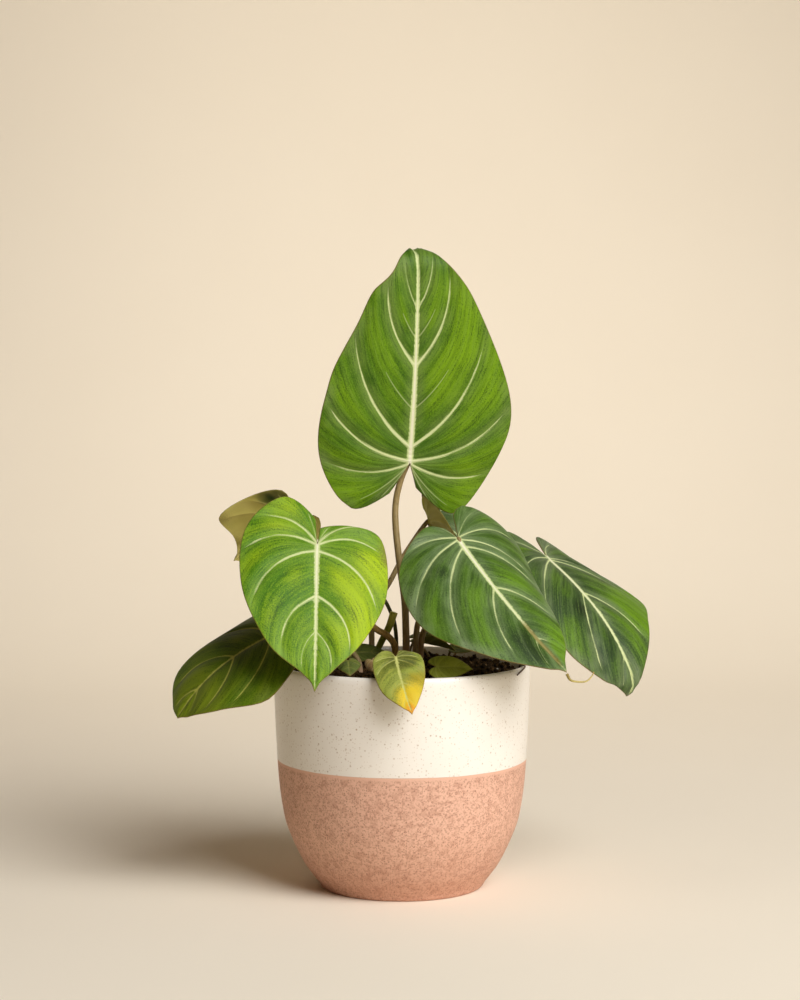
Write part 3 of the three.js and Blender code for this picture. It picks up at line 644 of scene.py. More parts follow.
def midrib(leaf, s):
    """Place, direction angle and yaw of the midrib at s (0 junction, 1 tip), summed in steps.
    The angle is the droop times s to a power, plus the tip's curl and the lobes' pitch."""
    steps = np.linspace(-LOBE_ZONE, 1, MIDRIB_STEPS)
    ahead, behind = np.maximum(steps, 0), np.maximum(-steps, 0)
    rolled = smooth((steps - leaf["tipStart"]) / (1 - leaf["tipStart"]))
    angle = leaf["droop"] * ahead**DROOP_POWER + leaf["tipCurl"] * rolled
    angle = (angle - leaf["lobePitch"] * behind / LOBE_SPAN) * DEGREE
    yaw = leaf["sweep"] * ahead * DEGREE
    way = direction(angle, yaw)
    hop = 0.5 * (way[1:] + way[:-1]) * (steps[1] - steps[0]) * leaf["length"]
    path = np.concatenate([[[0, 0, 0]], np.cumsum(hop, 0)])
    path -= [np.interp(0, steps, path[:, k]) for k in range(3)]
    place = np.stack([np.interp(s, steps, path[:, k]) for k in range(3)], -1)
    return place, np.interp(s, steps, angle), np.interp(s, steps, yaw)


print("leaf 1 points along:", np.round(held_frame(LEAVES[1])[0], 2))

# %% Flat surface of a blade
ARCH_FROM, ARCH_FULL, ARCH_EASES = 0.08, 0.43, 0.8  # where on the margin the veins arch most
ARCH_LOSS = 0.5  # how much of the arch is gone at the tip
NOTCH_ROOM = 0.6  # the share of the room beside the notch that an arch may take
PINCH_SPEED = 1.6  # the pinch of the drip tip is full before the tip


def vein_knots(leaf):
    """Values of c at the notch, at each side vein and at the tip."""
    veins = np.array(leaf["veins"])
    return np.concatenate([[0], veins[:, :2].mean(1), [1]])


def flat_blade(leaf, side, c, b):
    """Along and across of a point of the flat blade, and its place along the margin.
    Each line of equal c is a quadratic curve from the midrib to the margin, which leaves the
    midrib turned away from its chord by the arch of the veins. The width shrinks by the pinch
    at the drip tip and grows by a bell curve at each ruffle."""
    veins = np.array(leaf["veins"])
    length, k = leaf["length"], 0 if side < 0 else 1
    margin = np.array([[0, 0], *leaf["left" if side < 0 else "right"], [length, 0]])
    knots = vein_knots(leaf)
    a = np.interp(c, knots, np.concatenate([[1 / (len(margin) - 1)], veins[:, k], [1]]))
    start = np.interp(c, knots, np.concatenate([[0], veins[:, 2] * length, [length]]))
    end_along, end_across = np.moveaxis(curve_through(margin, a), -1, 0)
    drip_from, pinch = leaf["drip"]
    swell = 1 - pinch * smooth((a - drip_from) / (1 - drip_from) * PINCH_SPEED)
    for middle, reach, rise in leaf["ruffle"].get(side, []):
        swell = swell + rise / leaf["halfWidth"] * np.exp(-(((a - middle) / reach) ** 2))
    end_across = end_across * swell
    towards = end_along - start
    full = smooth((a - ARCH_FROM) / (ARCH_FULL - ARCH_FROM))
    eased = 1 - ARCH_LOSS * smooth((a - ARCH_EASES) / (1 - ARCH_EASES))
    notch = math.atan2(margin[1, 1], margin[1, 0])
    room = NOTCH_ROOM * np.maximum(0, notch - np.arctan2(end_across, towards))
    arch = np.minimum(leaf["bend"] * DEGREE * full * eased, room)
    reach = 0.5 / np.cos(arch)
    mid_along = start + reach * (towards * np.cos(arch) - end_across * np.sin(arch))
    mid_across = reach * (towards * np.sin(arch) + end_across * np.cos(arch))
    along = (1 - b) ** 2 * start + 2 * b * (1 - b) * mid_along + b * b * end_along
    across = 2 * b * (1 - b) * mid_across + b * b * end_across
    return along, across, a


print("leaf 1: veins meet the margin at", np.round(vein_knots(LEAVES[1]), 2))

# %% Bent surface of a blade
QUILT_EASE = 0.3  # quilting grows over this share of the length, from the junction
WAVE_EASE = 0.1  # and the wave over this share of the margin, at both its ends
WAVE_LAG = 1.7  # the right margin's wave is this far ahead of the left one's, in radians


def blade_surface(leaf, side, c, b):
    """Point of the bent blade in millimetres, with its flat place.
    Bending keeps lengths: across the blade the surface is an arc that starts at the fold angle
    and turns by the curl over the half width. Quilting is a sine between neighbouring veins,
    and the margin waves as a sine along it."""
    along, across, a = flat_blade(leaf, side, c, b)
    length, half_width, k = leaf["length"], leaf["halfWidth"], 0 if side < 0 else 1
    place, angle, yaw = midrib(leaf, along / length)
    twist = leaf["twist"] * np.clip(along / length, 0, 1) * DEGREE
    flat_side = np.stack([-np.sin(yaw), np.cos(yaw), 0 * yaw], -1)
    flat_up = np.cross(direction(angle, yaw), flat_side)
    cos, sin = np.cos(twist)[..., None], np.sin(twist)[..., None]
    up = flat_up * cos - flat_side * sin
    out = flat_side * cos + flat_up * sin
    fold, curl = leaf["fold"][k] * DEGREE, leaf["curl"][k] * DEGREE
    turn = fold + curl * across / half_width
    wide = (np.sin(turn) - math.sin(fold)) * half_width / curl
    height = -(np.cos(turn) - math.cos(fold)) * half_width / curl
    knots = vein_knots(leaf)
    i = np.clip(np.searchsorted(knots, c, side="left") - 1, 0, len(knots) - 2)
    between = np.clip((c - knots[i]) / (knots[i + 1] - knots[i]), 0, 1)
    grown = smooth(np.hypot(along, across) / (QUILT_EASE * length))
    height += grown * leaf["quilt"] * np.sin(math.pi * between) * np.sqrt(b) * (1 - b**3)
    phase = leaf["waves"] * 2 * math.pi * a + (0 if side < 0 else WAVE_LAG)
    ends = smooth(a / WAVE_EASE) * smooth((1 - a) / WAVE_EASE)
    height += leaf["wave"] * np.sin(phase) * b**3 * ends
    local = place + out * (side * wide)[..., None] + up * height[..., None]
    return np.array(leaf["junction"]) + local @ np.stack(held_frame(leaf)), along, across


tip, _, _ = blade_surface(LEAVES[1], 1, np.array(1.0), np.array(1.0))
print("tip of leaf 1:", np.round(tip, 1))

# %% [markdown]
# ## Blade with its veins
# A real blade is a thin sheet. Above, the main veins lie flush and pale; below, they stand out
# as round ribs, thickest at the junction. The margin is a thin rounded edge. So the sheet gets
# a thickness that rounds off at the margin, a small bead along each vein above and a rib below.
# Real folds could carry the veins too, but they would need many more points. Every point also
# keeps its distance to the nearest vein and to the margin, for the material.

# %% Distances and widths of veins
LARGEST = 139  # length of leaf 1, whose veins have the widths below


def distance_to_path(points, path):
    """Shortest distance from each point to a line of short pieces, and how far along it is. On
    each piece the nearest place is where the way to the point meets it at a right angle, or
    else its nearer end."""
    start, way = path[:-1], np.diff(path, axis=0)
    gap = points[:, None] - start
    share = (gap * way).sum(-1) / np.maximum((way * way).sum(-1), 1e-12)
    share = np.clip(share, 0, 1)
    apart = np.linalg.norm(gap - share[..., None] * way, axis=-1)
    nearest = apart.argmin(1)
    pick = np.arange(len(points)), nearest
    return apart[pick], (nearest + share[pick]) / len(way)


def vein_size(leaf):
    """Veins are wider on a larger blade: its length, as a share of the largest, to the 0.6."""
    return (leaf["length"] / LARGEST) ** 0.6 * leaf["veinSize"]


def midrib_width(leaf, t):
    """Half the midrib's width, widest at the junction and a hair at the tip: 1.5 times the rest
    of the way to the 0.8, plus 0.3, less a soft step of 0.35 over the last tenth."""
    return vein_size(leaf) * (1.5 * (1 - t) ** 0.8 + 0.3 - 0.35 * smooth((t - 0.9) / 0.1))


def side_width(leaf, order, t):
    """Half a side vein's width: a part that tapers with the cube of the rest of the way, plus a
    part that tapers with its root, less a soft step that fades it before the margin."""
    rank = leaf["sideVeins"][order]
    size = vein_size(leaf) * rank
    faded = 0.25 * (1 - rank) + 0.9 * smooth((t - 0.75) / 0.25)
    return size * (0.55 * (1 - t) ** 3 + 0.42 * (1 - t) ** 0.5) - faded


def rounded_bead(apart, width):
    """Height of a half-round bead of this half-width, 0 outside it: the root of 1 less the
    squared share of the half-width, times the half-width."""
    inside = np.clip(1 - (apart / np.maximum(width, 0.01)) ** 2, 0, 1)
    return np.sqrt(inside) * np.maximum(width, 0)


print("leaf 1: its midrib is", round(2 * midrib_width(LEAVES[1], 0), 1), "mm wide at the stalk")

# %% Grid lines of a blade
COLUMN = 2.1  # the usual step between two stations, measured on the margin
FEWEST, MOST = 5, 16  # stations between two veins
ROWS, ROW_PULL, RIM_ROWS = 44, 0.07, [0.985, 0.994]


def blade_stations(leaf):
    """Values of c: close together at every vein and fine vein, wider apart between them."""
    lines = sorted({*vein_knots(leaf), *(place for place, _ in leaf["fine"])})
    stations = [0]
    for low, high in zip(lines[:-1], lines[1:]):
        along, across, _ = flat_blade(leaf, 1, np.array([low, high]), np.ones(2))
        span = math.hypot(along[1] - along[0], across[1] - across[0])
        count = int(np.clip(round(span / COLUMN), FEWEST, MOST))
        steps = (1 - np.cos(math.pi * np.arange(1, count + 1) / count)) / 2
        stations.extend(low + (high - low) * steps)
    return np.array(stations)


def blade_rows():
    """Values of b: closer at the midrib and at the margin, with two more beside the margin."""
    t = np.linspace(0, 1, ROWS)
    return np.sort(np.concatenate([t - ROW_PULL * np.sin(2 * math.pi * t), RIM_ROWS]))


print("leaf 1: lines across one half:", len(blade_stations(LEAVES[1])))

# %% One half of a blade
VEIN_STEPS, MARGIN_STEPS, NOTCH_STEPS = 70, 200, 30
FINE_WIDTH = 0.32
FAR = 99.0


def path_on(leaf, side, c, b):
    """A line on the flat blade, as points of along and across."""
    c, b = np.broadcast_arrays(c, b)
    return np.stack(flat_blade(leaf, side, c, b)[:2], 1)


def blade_half(leaf, side):
    """Grid of one half: its points, its shape, and the values kept at each point. These are how
    far a point is from the nearest vein, fine vein and margin, how high the vein's bead is, and
    the flat place with the number of the streak."""
    c, b = np.meshgrid(blade_stations(leaf), blade_rows(), indexing="ij")
    points, along, across = blade_surface(leaf, side, c, b)
    flat = np.stack([along.ravel(), across.ravel()], 1)
    t = np.linspace(0, 1, VEIN_STEPS)
    apart, share = distance_to_path(flat, np.stack([t * leaf["length"], 0 * t], 1))
    width = midrib_width(leaf, share)
    vein, bead = apart - width, rounded_bead(apart, width)
    for order, knot in enumerate(vein_knots(leaf)[1:-1]):
        apart, share = distance_to_path(flat, path_on(leaf, side, knot, t))
        width = side_width(leaf, order, share)
        vein = np.minimum(vein, apart - width)
        bead = np.maximum(bead, rounded_bead(apart, width))
    fine = np.full(len(flat), FAR)
    for place, reach in leaf["fine"]:
        apart, share = distance_to_path(flat, path_on(leaf, side, place, t * reach))
        fine = np.minimum(fine, apart - FINE_WIDTH * (1 - share) ** 0.5)
    margin = path_on(leaf, side, np.linspace(0, 1, MARGIN_STEPS), 1.0)
    notch = path_on(leaf, side, 0.0, np.linspace(0, 1, NOTCH_STEPS))
    rim = np.minimum(distance_to_path(flat, margin)[0], distance_to_path(flat, notch)[0])
    rim = np.where((b.ravel() == 1) | (c.ravel() == 0), 0, rim)
    streak = (c * leaf["length"]).ravel()
    place = np.stack([flat[:, 0], side * flat[:, 1], streak], 1)
    values = dict(vein=vein, bead=bead, fine=fine, rim=rim, place=place)
    return points.reshape(-1, 3), c.shape, values


print("leaf 1: points in one half:", len(blade_half(LEAVES[1], 1)[0]))

# %% A whole blade
BLADE_HALF = 0.34  # half the blade's thickness
EDGE_ROUND = 0.6  # the margin thins to nothing over this width
BEAD_ABOVE, BEAD_BELOW = 0.16, 0.7
GULLY_DEPTH, GULLY_REACH, GULLY_RIM = 0.55, 2, 6  # the blade sinks towards its veins
LAYOUT_GAP = 0.02


def patches(spots, where):
    """Sum of soft round patches: each is its strength times e to the minus distance squared,
    with the distance as a share of its reach."""
    total = np.zeros(len(where))
    for along, across, reach, strength in spots:
        square = ((where - [along, across]) ** 2).sum(1)
        total += strength * np.exp(-square / reach**2)
    return total


def lay_out(piece, place, upper_faces):
    """Texture layout: the flat upper side in the left half of a square, the lower in the right."""
    low, high = place.min(0), place.max(0)
    flat = LAYOUT_GAP + (1 - 2 * LAYOUT_GAP) * (place - low) / (high - low)
    corner = np.zeros(3 * len(piece.data.polygons), np.int32)
    piece.data.loops.foreach_get("vertex_index", corner)
    half = 0.5 * (np.arange(len(corner)) >= 3 * upper_faces)
    aside = flat[corner, 1] * (0.5 - LAYOUT_GAP) + half + LAYOUT_GAP / 2
    spread = np.stack([aside, flat[corner, 0]], 1)
    layer = piece.data.uv_layers.new(name="OFBake")
    layer.uv.foreach_set("vector", spread.astype(np.float32).ravel())


def add_blade(name, leaf, material, replaces, half=BLADE_HALF):
    """Closed blade: an upper and a lower skin of the bent sheet, joined at the margin. Each point
    moves along its normal by the half thickness and its bead, after the sheet has sunk."""
    halves = [blade_half(leaf, side) for side in (-1, 1)]
    points, number, first = welded(np.concatenate([grid for grid, _, _ in halves]))
    values = {
        key: np.concatenate([part[key] for _, _, part in halves])[first] for key in halves[0][2]
    }
    offset, faces = 0, []
    for side, (grid, shape, _) in zip((-1, 1), halves):
        numbers = number[offset : offset + len(grid)].reshape(shape)
        triangles = grid_triangles(points, numbers)
        faces.append(triangles if side < 0 else triangles[:, ::-1])
        offset += len(grid)
    faces = np.concatenate(faces)
    normals = point_normals(points, faces)
    round_off = np.sqrt(1 - (1 - np.clip(values["rim"] / EDGE_ROUND, 0, 1)) ** 2)
    thick = (half * round_off)[:, None]
    bead = (values["bead"] * round_off)[:, None]
    gully = np.exp(-np.maximum(values["vein"], 0) / GULLY_REACH)
    gully = gully * smooth(values["rim"] / GULLY_RIM)
    points = points - normals * (GULLY_DEPTH * gully)[:, None]
    upper = points + normals * (thick + BEAD_ABOVE * bead)
    lower = points - normals * (thick + BEAD_BELOW * bead)
    count = len(points)
    below = np.where(values["rim"] == 0, np.arange(count), np.arange(count) + count)
    triangles = np.concatenate([faces, below[faces][:, ::-1]])
    used, triangles = np.unique(triangles, return_inverse=True)
    triangles = triangles.reshape(-1, 3)
    both = np.concatenate([upper, lower])[used]
    under = np.concatenate([np.zeros(count), np.ones(count)])[used]
    piece = add_piece(name, both, triangles, material, replaces)
    kept = {k: np.concatenate([v, v])[used] for k, v in values.items() if k != "bead"}
    spots = kept["place"][:, :2]
    soft = {key: patches(leaf[key], spots) for key in ("glow", "aged")}
    add_values(piece, under=under, **kept, **soft)
    lay_out(piece, spots, len(faces))
    return piece


print("a blade is", 2 * BLADE_HALF, "mm thick between its veins")

# %% [markdown]
# ### Leaf material
# The blade is velvety, so it has a soft sheen and a matt surface with fine grain. Its green is
# yellower where light has aged it, with streaks that run with the veins, and it is painted
# lighter and darker in patches: partly its own tone, partly painted light and painted shade. It
# is painted darker near the midrib and the other veins, as shade where the blade sinks into
# them. A greyish painted sheen follows each vein and the margin, the veins are pale cream with
# feathery edges, and the margin has a hair-thin reddish line. The underside is browner and
# duller, with painted shade in patches. A painted picture could show all of it, but here every
# mark follows from the values kept at the points, so the marks fit each leaf's own veins. The
# colour is built up in coats, as a painter would.

# %% Leaf material
BROWNED = (116, 98, 34)


def lighter(colour, amount):
    """A colour with the same amount added to its red, green and blue."""
    return [min(255, value + amount) for value in colour]


def leaf_material(name, deep, bright, sheen_colour, vein, below, base=0.2, contrast=0.5):
    """Greens as seen on a screen: in painted shade and in painted light, the painted sheen, the
    veins, the underside. The base paints the upper side lighter, and the contrast makes it more
    streaked."""
    recipe = Recipe(name, Sheen_Weight=0.05, Specular_IOR_Level=0.22, IOR=1.4)
    where = recipe.value("place", "Vector")
    keys = ("under", "vein", "fine", "rim", "glow", "aged")
    under, edge, fine, rim, glow, aged = (recipe.value(key) for key in keys)
    grain = where.noise(1.4, 2, 0.9) - 0.5
    cloud = where.noise(0.05, 2) - 0.5
    bands = where.stretched((0.02, 0.02, 0.2)).noise(1, 1) - 0.5
    threads = where.stretched((0.06, 0.06, 1.5)).noise(1, 2) - 0.5
    pleats = (where.part("Z") * 1.25 + cloud * 4).sine()
    # Painted light and shade: the glow patches, the blade darker beside its veins, and clouds,
    # streaks and grain choose between the lit green and the shaded one.
    light = glow + base + edge.over(2, 12) * 0.3 + cloud * 1.6 * contrast + grain * 0.9
    light = light + bands * 1.2 * contrast + threads * 0.5 * contrast
    # Painted sheen: a grey sheen beside the veins and along the margin, left out where the painted
    # patches are darkest or brightest.
    calm = glow.over(-0.5, -0.1) * glow.over(0.9, 0.2)
    painted_sheen = edge.over(7, 0.2) * (cloud + bands * 0.5).over(-0.3, 0.1) * calm
    painted_sheen = painted_sheen + rim.over(9, 1) * cloud.over(-0.1, 0.2) * calm
    down = grain + threads * 0.8
    aged = aged + grain * 0.9
    fuzz = edge + grain * 1.3 + threads * 1.8
    thin = fine + grain * 0.5
    shade = [value * 0.6 for value in deep]
    pale = recipe.coats(vein, (edge.over(-0.3, -1.3), (230, 224, 190)))
    upper = recipe.coats(
        deep,
        (light.over(0, 1), bright),
        (light.over(0, -0.8), shade),
        (painted_sheen * 0.7, sheen_colour),
        # Painted highlight and painted shade along the pleats and in the grain.
        (pleats.over(0.5, 1) * 0.25 * contrast, sheen_colour),
        (pleats.over(-0.3, -1) * 0.4 * contrast, shade),
        (down.over(0, 0.3) * 0.35, bright),
        (down.over(0, 0.3) * 0.3, sheen_colour),
        (down.over(0, -0.3) * 0.8, shade),
        (aged.over(0.15, 0.9) * 0.9, (218, 186, 46)),
        (aged.over(0.95, 1.7), (214, 134, 30)),
        (fuzz.over(0.6, -0.3) * 0.92, pale),
        (thin.over(0.3, -0.2) * 0.4, vein),
        (aged.over(-0.3, -0.9) * 0.8, BROWNED),
        (rim.over(0.6, 0.2) * 0.6, (128, 96, 52)),
    )
    # The underside is painted lighter and darker in patches, with painted shade where they are
    # darkest.
    dusk = cloud + bands + glow * 0.3
    lower = recipe.coats(
        below,
        (dusk.over(-0.3, 0.3), lighter(below, 26)),
        (dusk.over(-0.2, -0.9), shade),
        (edge.over(0.5, -0.3) * 0.5, lighter(below, 50)),
        (aged.over(-0.2, -0.9) * 0.6, BROWNED),
    )
    recipe.set("Base Color", recipe.coats(upper, (under, lower)))
    recipe.set("Roughness", 0.5 + grain * 0.2)
    recipe.bump(grain * 0.12 + threads * 0.12 + pleats * 0.08, 0.7)
    return recipe.material


print("the browned parts in linear light:", np.round(paint(BROWNED)[:3], 3))

# %% The eight grown leaves
GREEN = dict(
    deep=(62, 98, 0), bright=(112, 148, 0), sheen_colour=(106, 128, 60), vein=(200, 208, 144),
    below=(112, 112, 44),
)
LOOKS = {
    1: GREEN,
    2: dict(GREEN, deep=(72, 116, 0), bright=(160, 184, 4), sheen_colour=(116, 150, 50), base=0.15,
            contrast=0.35),
    3: dict(GREEN, below=(202, 190, 98)),
    4: dict(GREEN, deep=(76, 106, 0), bright=(122, 138, 30), sheen_colour=(108, 126, 48),
            vein=(196, 196, 90)),
    5: dict(GREEN, deep=(64, 90, 30), bright=(98, 134, 26), sheen_colour=(114, 130, 88),
            contrast=0.6),
    # Leaf 6's underside is painted paler than the others': painted light, for the shade it lies
    # in.
    6: dict(GREEN, deep=(70, 92, 46), bright=(108, 130, 50), sheen_colour=(120, 134, 98),
            below=(178, 174, 74)),
    7: dict(GREEN, deep=(54, 74, 34), bright=(98, 134, 20), sheen_colour=(108, 120, 84),
            contrast=0.6),
    8: dict(GREEN, deep=(142, 152, 62), bright=(160, 136, 14), sheen_colour=(156, 160, 84),
            vein=(190, 190, 106)),
}
SLOTS = {2: "bright_leaf", 8: "yellowing_leaf"}
for number, leaf in LEAVES.items():
    name = f"leaf_{number}"
    material, slot = leaf_material(name, **LOOKS[number]), SLOTS.get(number, "leaf")
    piece = add_blade(name, leaf, material, [f"blade_{number}"])
    print(name, len(piece.data.polygons), "triangles")

# %% [markdown]
# ## Potting mix
# The mix is dark, crumbly peat with bits of bark and a few white grains of perlite. A flat disc
# with bump would look flat from the side. So its body is a turned form with a lumpy top, and
# the loose bits are many small faceted stones on it.

# %% Height of the mix
MIX_SIDE = [[41.6, 7.4], [49.6, 12.4], [59.2, 26.7], [63.8, 38.3], [69.3, 85.3], [70.6, 122]]
MIX_TOP = [[68.8, 125.4], [61, 126.3], [50, 127.6], [38, 129.2], [26, 130.8], [13, 132]]
MIX_BOTTOM = 6.4
MIX_CROWN = 132.4
MIX_LUMPS = ((2.2, 9, 1), (1.6, 4, 2), (1.1, 2, 3))  # height, cell and seed of three sizes
LATTICE = 96


def mix_height(radius):
    """Height of the smooth top at a distance from the axis."""
    rows = np.array([[0, MIX_CROWN], *MIX_TOP[::-1]])
    return np.interp(radius, rows[:, 0], rows[:, 1])


def lattice_noise(x, y, cell, seed):
    """Smooth random height: values at the corners of square cells, eased between them."""
    table = np.random.default_rng(seed).random((LATTICE + 1, LATTICE + 1))
    u, v = x / cell + LATTICE / 2, y / cell + LATTICE / 2
    i, j = np.floor(u).astype(int), np.floor(v).astype(int)
    s, t = smooth(u - i), smooth(v - j)
    i, j = i % LATTICE, j % LATTICE
    low = table[i, j] * (1 - s) + table[i + 1, j] * s
    high = table[i, j + 1] * (1 - s) + table[i + 1, j + 1] * s
    return low * (1 - t) + high * t - 0.5


def mix_lumps(x, y):
    """Height of the clods: the sum of three sizes of smooth noise."""
    return sum(height * lattice_noise(x, y, cell, seed) for height, cell, seed in MIX_LUMPS)


print("mix at its crown:", MIX_CROWN, "mm, at the wall:", mix_height(MIX_TOP[0][0]), "mm")

# %% Body of the mix
MIX_SEGMENTS = 180
SIDE_RINGS, TOP_RINGS = 14, 70
LOOSE_RINGS = 6  # the lumps grow from nothing over this many rings
CALM_CENTRE = 4  # and over this distance from the axis


def mix_material():
    recipe = Recipe("peat", IOR=1.3)
    where = recipe.place()
    clod = where.noise(260, 5, 0.7)
    fibre = where.stretched((900, 300, 900)).noise(1)
    peat = recipe.coats(
        (36, 27, 14),
        (clod.over(0.35, 0.7), (84, 62, 34)),
        (fibre.over(0.6, 0.8) * 0.6, (104, 80, 54)),
    )
    recipe.set("Base Color", peat)
    recipe.set("Roughness", 0.85 + clod * 0.1)
    recipe.bump(clod + fibre * 0.4, 0.8)
    return recipe.material


side = curve_through(MIX_SIDE, np.linspace(0, 1, SIDE_RINGS))
radius = np.linspace(MIX_TOP[0][0], 0, TOP_RINGS)
top = np.stack([radius, mix_height(radius)], 1)
body = turned(np.concatenate([[[0, MIX_BOTTOM]], side, top]), MIX_SEGMENTS)
x, y = body[..., 0], body[..., 1]
loose = np.zeros(len(body))
loose[-TOP_RINGS:] = smooth(np.arange(TOP_RINGS) / LOOSE_RINGS)
centre = smooth(np.hypot(x, y) / CALM_CENTRE)
body[..., 2] += mix_lumps(x, y) * loose[:, None] * centre
mix, _ = add_surface("mix_body", body, mix_material(), ["potting_mix"])
print("mix triangles:", len(mix.data.polygons))

# %% [markdown]
# ### Crumbs
# Peat never lies smooth. Crumbs, slivers of bark and grains of perlite lie on top, some half
# sunk. They could be particles, but plain small stones made in one array are simpler: the
# corners of a twelve-cornered ball, each pushed in or out, stretched, turned and set down.


# %% The form of a crumb
def ball():
    """The twelve corners and twenty faces of an icosahedron. Its corners are those of three
    golden rectangles, and its faces are the triples of neighbouring corners."""
    g = (1 + math.sqrt(5)) / 2
    signs = list(itertools.product((-1, 1), repeat=2))
    corners = [np.roll((a, b * g, 0), turn) for turn in range(3) for a, b in signs]
    corners = np.array(corners) / math.hypot(1, g)
    apart = np.linalg.norm(corners[:, None] - corners, axis=-1)
    near = (apart > 0) & (apart < 1.1)
    faces = []
    for i, j, k in itertools.combinations(range(12), 3):
        if near[i, j] and near[j, k] and near[i, k]:
            p, q, r = corners[[i, j, k]]
            outward = np.dot(np.cross(q - p, r - p), p) > 0
            faces.append((i, j, k) if outward else (i, k, j))
    return corners, np.array(faces)


print("faces of one crumb:", len(ball()[1]))

# %% Crumbs on the mix
CRUMB_REACH = 68.5
CRUMB_ROUGH = 0.35
CRUMB_FLAT = 0.7
CRUMB_RISE = 0.25  # how far a crumb's middle stands above the mix, as a share of its size


def crumbs(count, small, large, long, seed):
    """Small stones scattered over the mix: corners, triangles and one random tone for each. The
    distance from the axis is the reach times the root of a random number, so that they lie
    evenly. Sizes go from small to large with a cube, so that most are small."""
    rng = np.random.default_rng(seed)
    corners, faces = ball()
    radius = CRUMB_REACH * np.sqrt(rng.random(count))
    angle = 2 * math.pi * rng.random(count)
    x, y = radius * np.cos(angle), radius * np.sin(angle)
    size = small + (large - small) * rng.random(count) ** 3
    shape = corners * (1 + CRUMB_ROUGH * (rng.random((count, 12, 1)) - 0.5))
    one = np.ones(count)
    stretch = np.stack([1 + long * rng.random(count), one, CRUMB_FLAT * one], 1)
    shape = shape * (stretch * size[:, None])[:, None]
    turn = rng.standard_normal((count, 3, 3))
    turn, _ = np.linalg.qr(turn)
    turn *= np.sign(np.linalg.det(turn))[:, None, None]
    shape = shape @ turn
    height = mix_height(radius) + mix_lumps(x, y) + CRUMB_RISE * size
    shape += np.stack([x, y, height], 1)[:, None]
    triangles = faces[None] + 12 * np.arange(count)[:, None, None]
    tone = np.repeat(rng.random(count), 12)
    return shape.reshape(-1, 3), triangles.reshape(-1, 3), tone


def crumb_material(name, dark, light):
    recipe = Recipe(name, IOR=1.35, Specular_IOR_Level=0.2)
    fleck = recipe.place().noise(900)
    spots = fleck.over(0.5, 0.7) * 0.5
    recipe.set("Base Color", recipe.coats(dark, (recipe.value("tone"), light), (spots, dark)))
    recipe.set("Roughness", 0.8 + fleck * 0.1)
    return recipe.material


# How many, from what to what size, how much longer than wide, and the two ends of the tone.
SORTS = {
    "mix_crumbs": (2200, 0.5, 2.0, 0.6, (26, 18, 10), (86, 66, 42)),
    "mix_bark": (240, 0.5, 1.5, 3.0, (70, 52, 32), (132, 104, 70)),
    "mix_perlite": (60, 0.5, 1.2, 0.3, (196, 188, 170), (236, 230, 216)),
}
for name, (count, small, large, long, dark, light) in SORTS.items():
    points, triangles, tone = crumbs(count, small, large, long, seed=count)
    piece = add_piece(name, points, triangles, crumb_material(name, dark, light))
    add_values(piece, tone=tone)
    print(name, len(piece.data.polygons), "triangles")

# %% [markdown]
# ## Stalks
# A stalk is a smooth brown tube that thins towards its blade. A curve object with a bevel would
# do, but it keeps no values at its points, and a stalk's colour changes on the way up. So it is
# rings of points about a smooth curve through the points that the model gives it, each turned
# as little as possible against the one before, so that the tube doesn't twist.


# %% Tubes
def tube(path, radii, rings, sides):
    """Rings of points about a smooth curve, closed at both ends, and how far along each is.
    A ring's points are the centre plus the radius times the cosine and sine of their angle
    along two directions across the curve."""
    t = np.linspace(0, 1, rings + 1)
    centre = curve_through(path, t)
    along = np.gradient(centre, axis=0)
    along /= np.linalg.norm(along, axis=1, keepdims=True)
    frames, side = [], np.array([1.0, 0, 0] if abs(along[0, 0]) < 0.9 else [0, 1.0, 0])
    for way in along:
        side = side - way * (side @ way)
        side = side / np.linalg.norm(side)
        frames.append([side, np.cross(way, side)])
    frames = np.array(frames)
    angle = np.linspace(0, 2 * math.pi, sides + 1)
    radius = np.interp(t, np.linspace(0, 1, len(radii)), radii)[:, None, None]
    ring = frames[:, :1] * np.cos(angle)[:, None] + frames[:, 1:] * np.sin(angle)[:, None]
    surface = centre[:, None] + ring * radius
    ends = [np.repeat(centre[k][None, None], sides + 1, 1) for k in (0, -1)]
    surface = np.concatenate([ends[0], surface, ends[1]])
    share = np.repeat(np.concatenate([[0], t, [1]]), sides + 1)
    return surface, share


def add_tube(name, path, radii, rings, material, replaces=(), sides=16):
    """A piece that is a closed tube, which keeps at each point how far along it is."""
    surface, share = tube(path, radii, rings, sides)
    piece, first = add_surface(name, surface, material, replaces)
    add_values(piece, share=share[first])


straight, _ = tube([[0, 0, 0], [0, 0, 1]], [1, 1], rings=1, sides=16)
print("a short tube's grid of points:", straight.shape[:2])


# %% Stalk material
def stalk_material(name, foot, middle, top):
    """Three colours on the way up, with fine dark flecks drawn out along it."""
    recipe = Recipe(name, IOR=1.4, Sheen_Weight=0.1)
    share = recipe.value("share")
    fleck = recipe.place().stretched((1500, 1500, 300)).noise(1)
    colour = recipe.coats(
        foot,
        (share.over(0.1, 0.4), middle),
        (share.over(0.75, 1), top),
        (fleck.over(0.45, 0.7) * 0.4, (60, 44, 26)),
    )
    recipe.set("Base Color", colour)
    recipe.set("Roughness", 0.4 + fleck * 0.2)
    recipe.bump(fleck * 0.2, 0.4)
    return recipe.material


# The stalks' pale feet, and stalk 2's pale browns, are partly painted light, for the shade of the
# leaves above them.
BROWN = dict(foot=(228, 184, 152), middle=(152, 130, 82), top=(138, 118, 72))
STALK_LOOKS = {
    2: dict(foot=(206, 160, 100), middle=(196, 156, 88), top=(140, 124, 60)),
    3: dict(foot=(100, 96, 50), middle=(88, 92, 52), top=(90, 94, 50)),
}
print("stalks that aren't brown:", list(STALK_LOOKS))

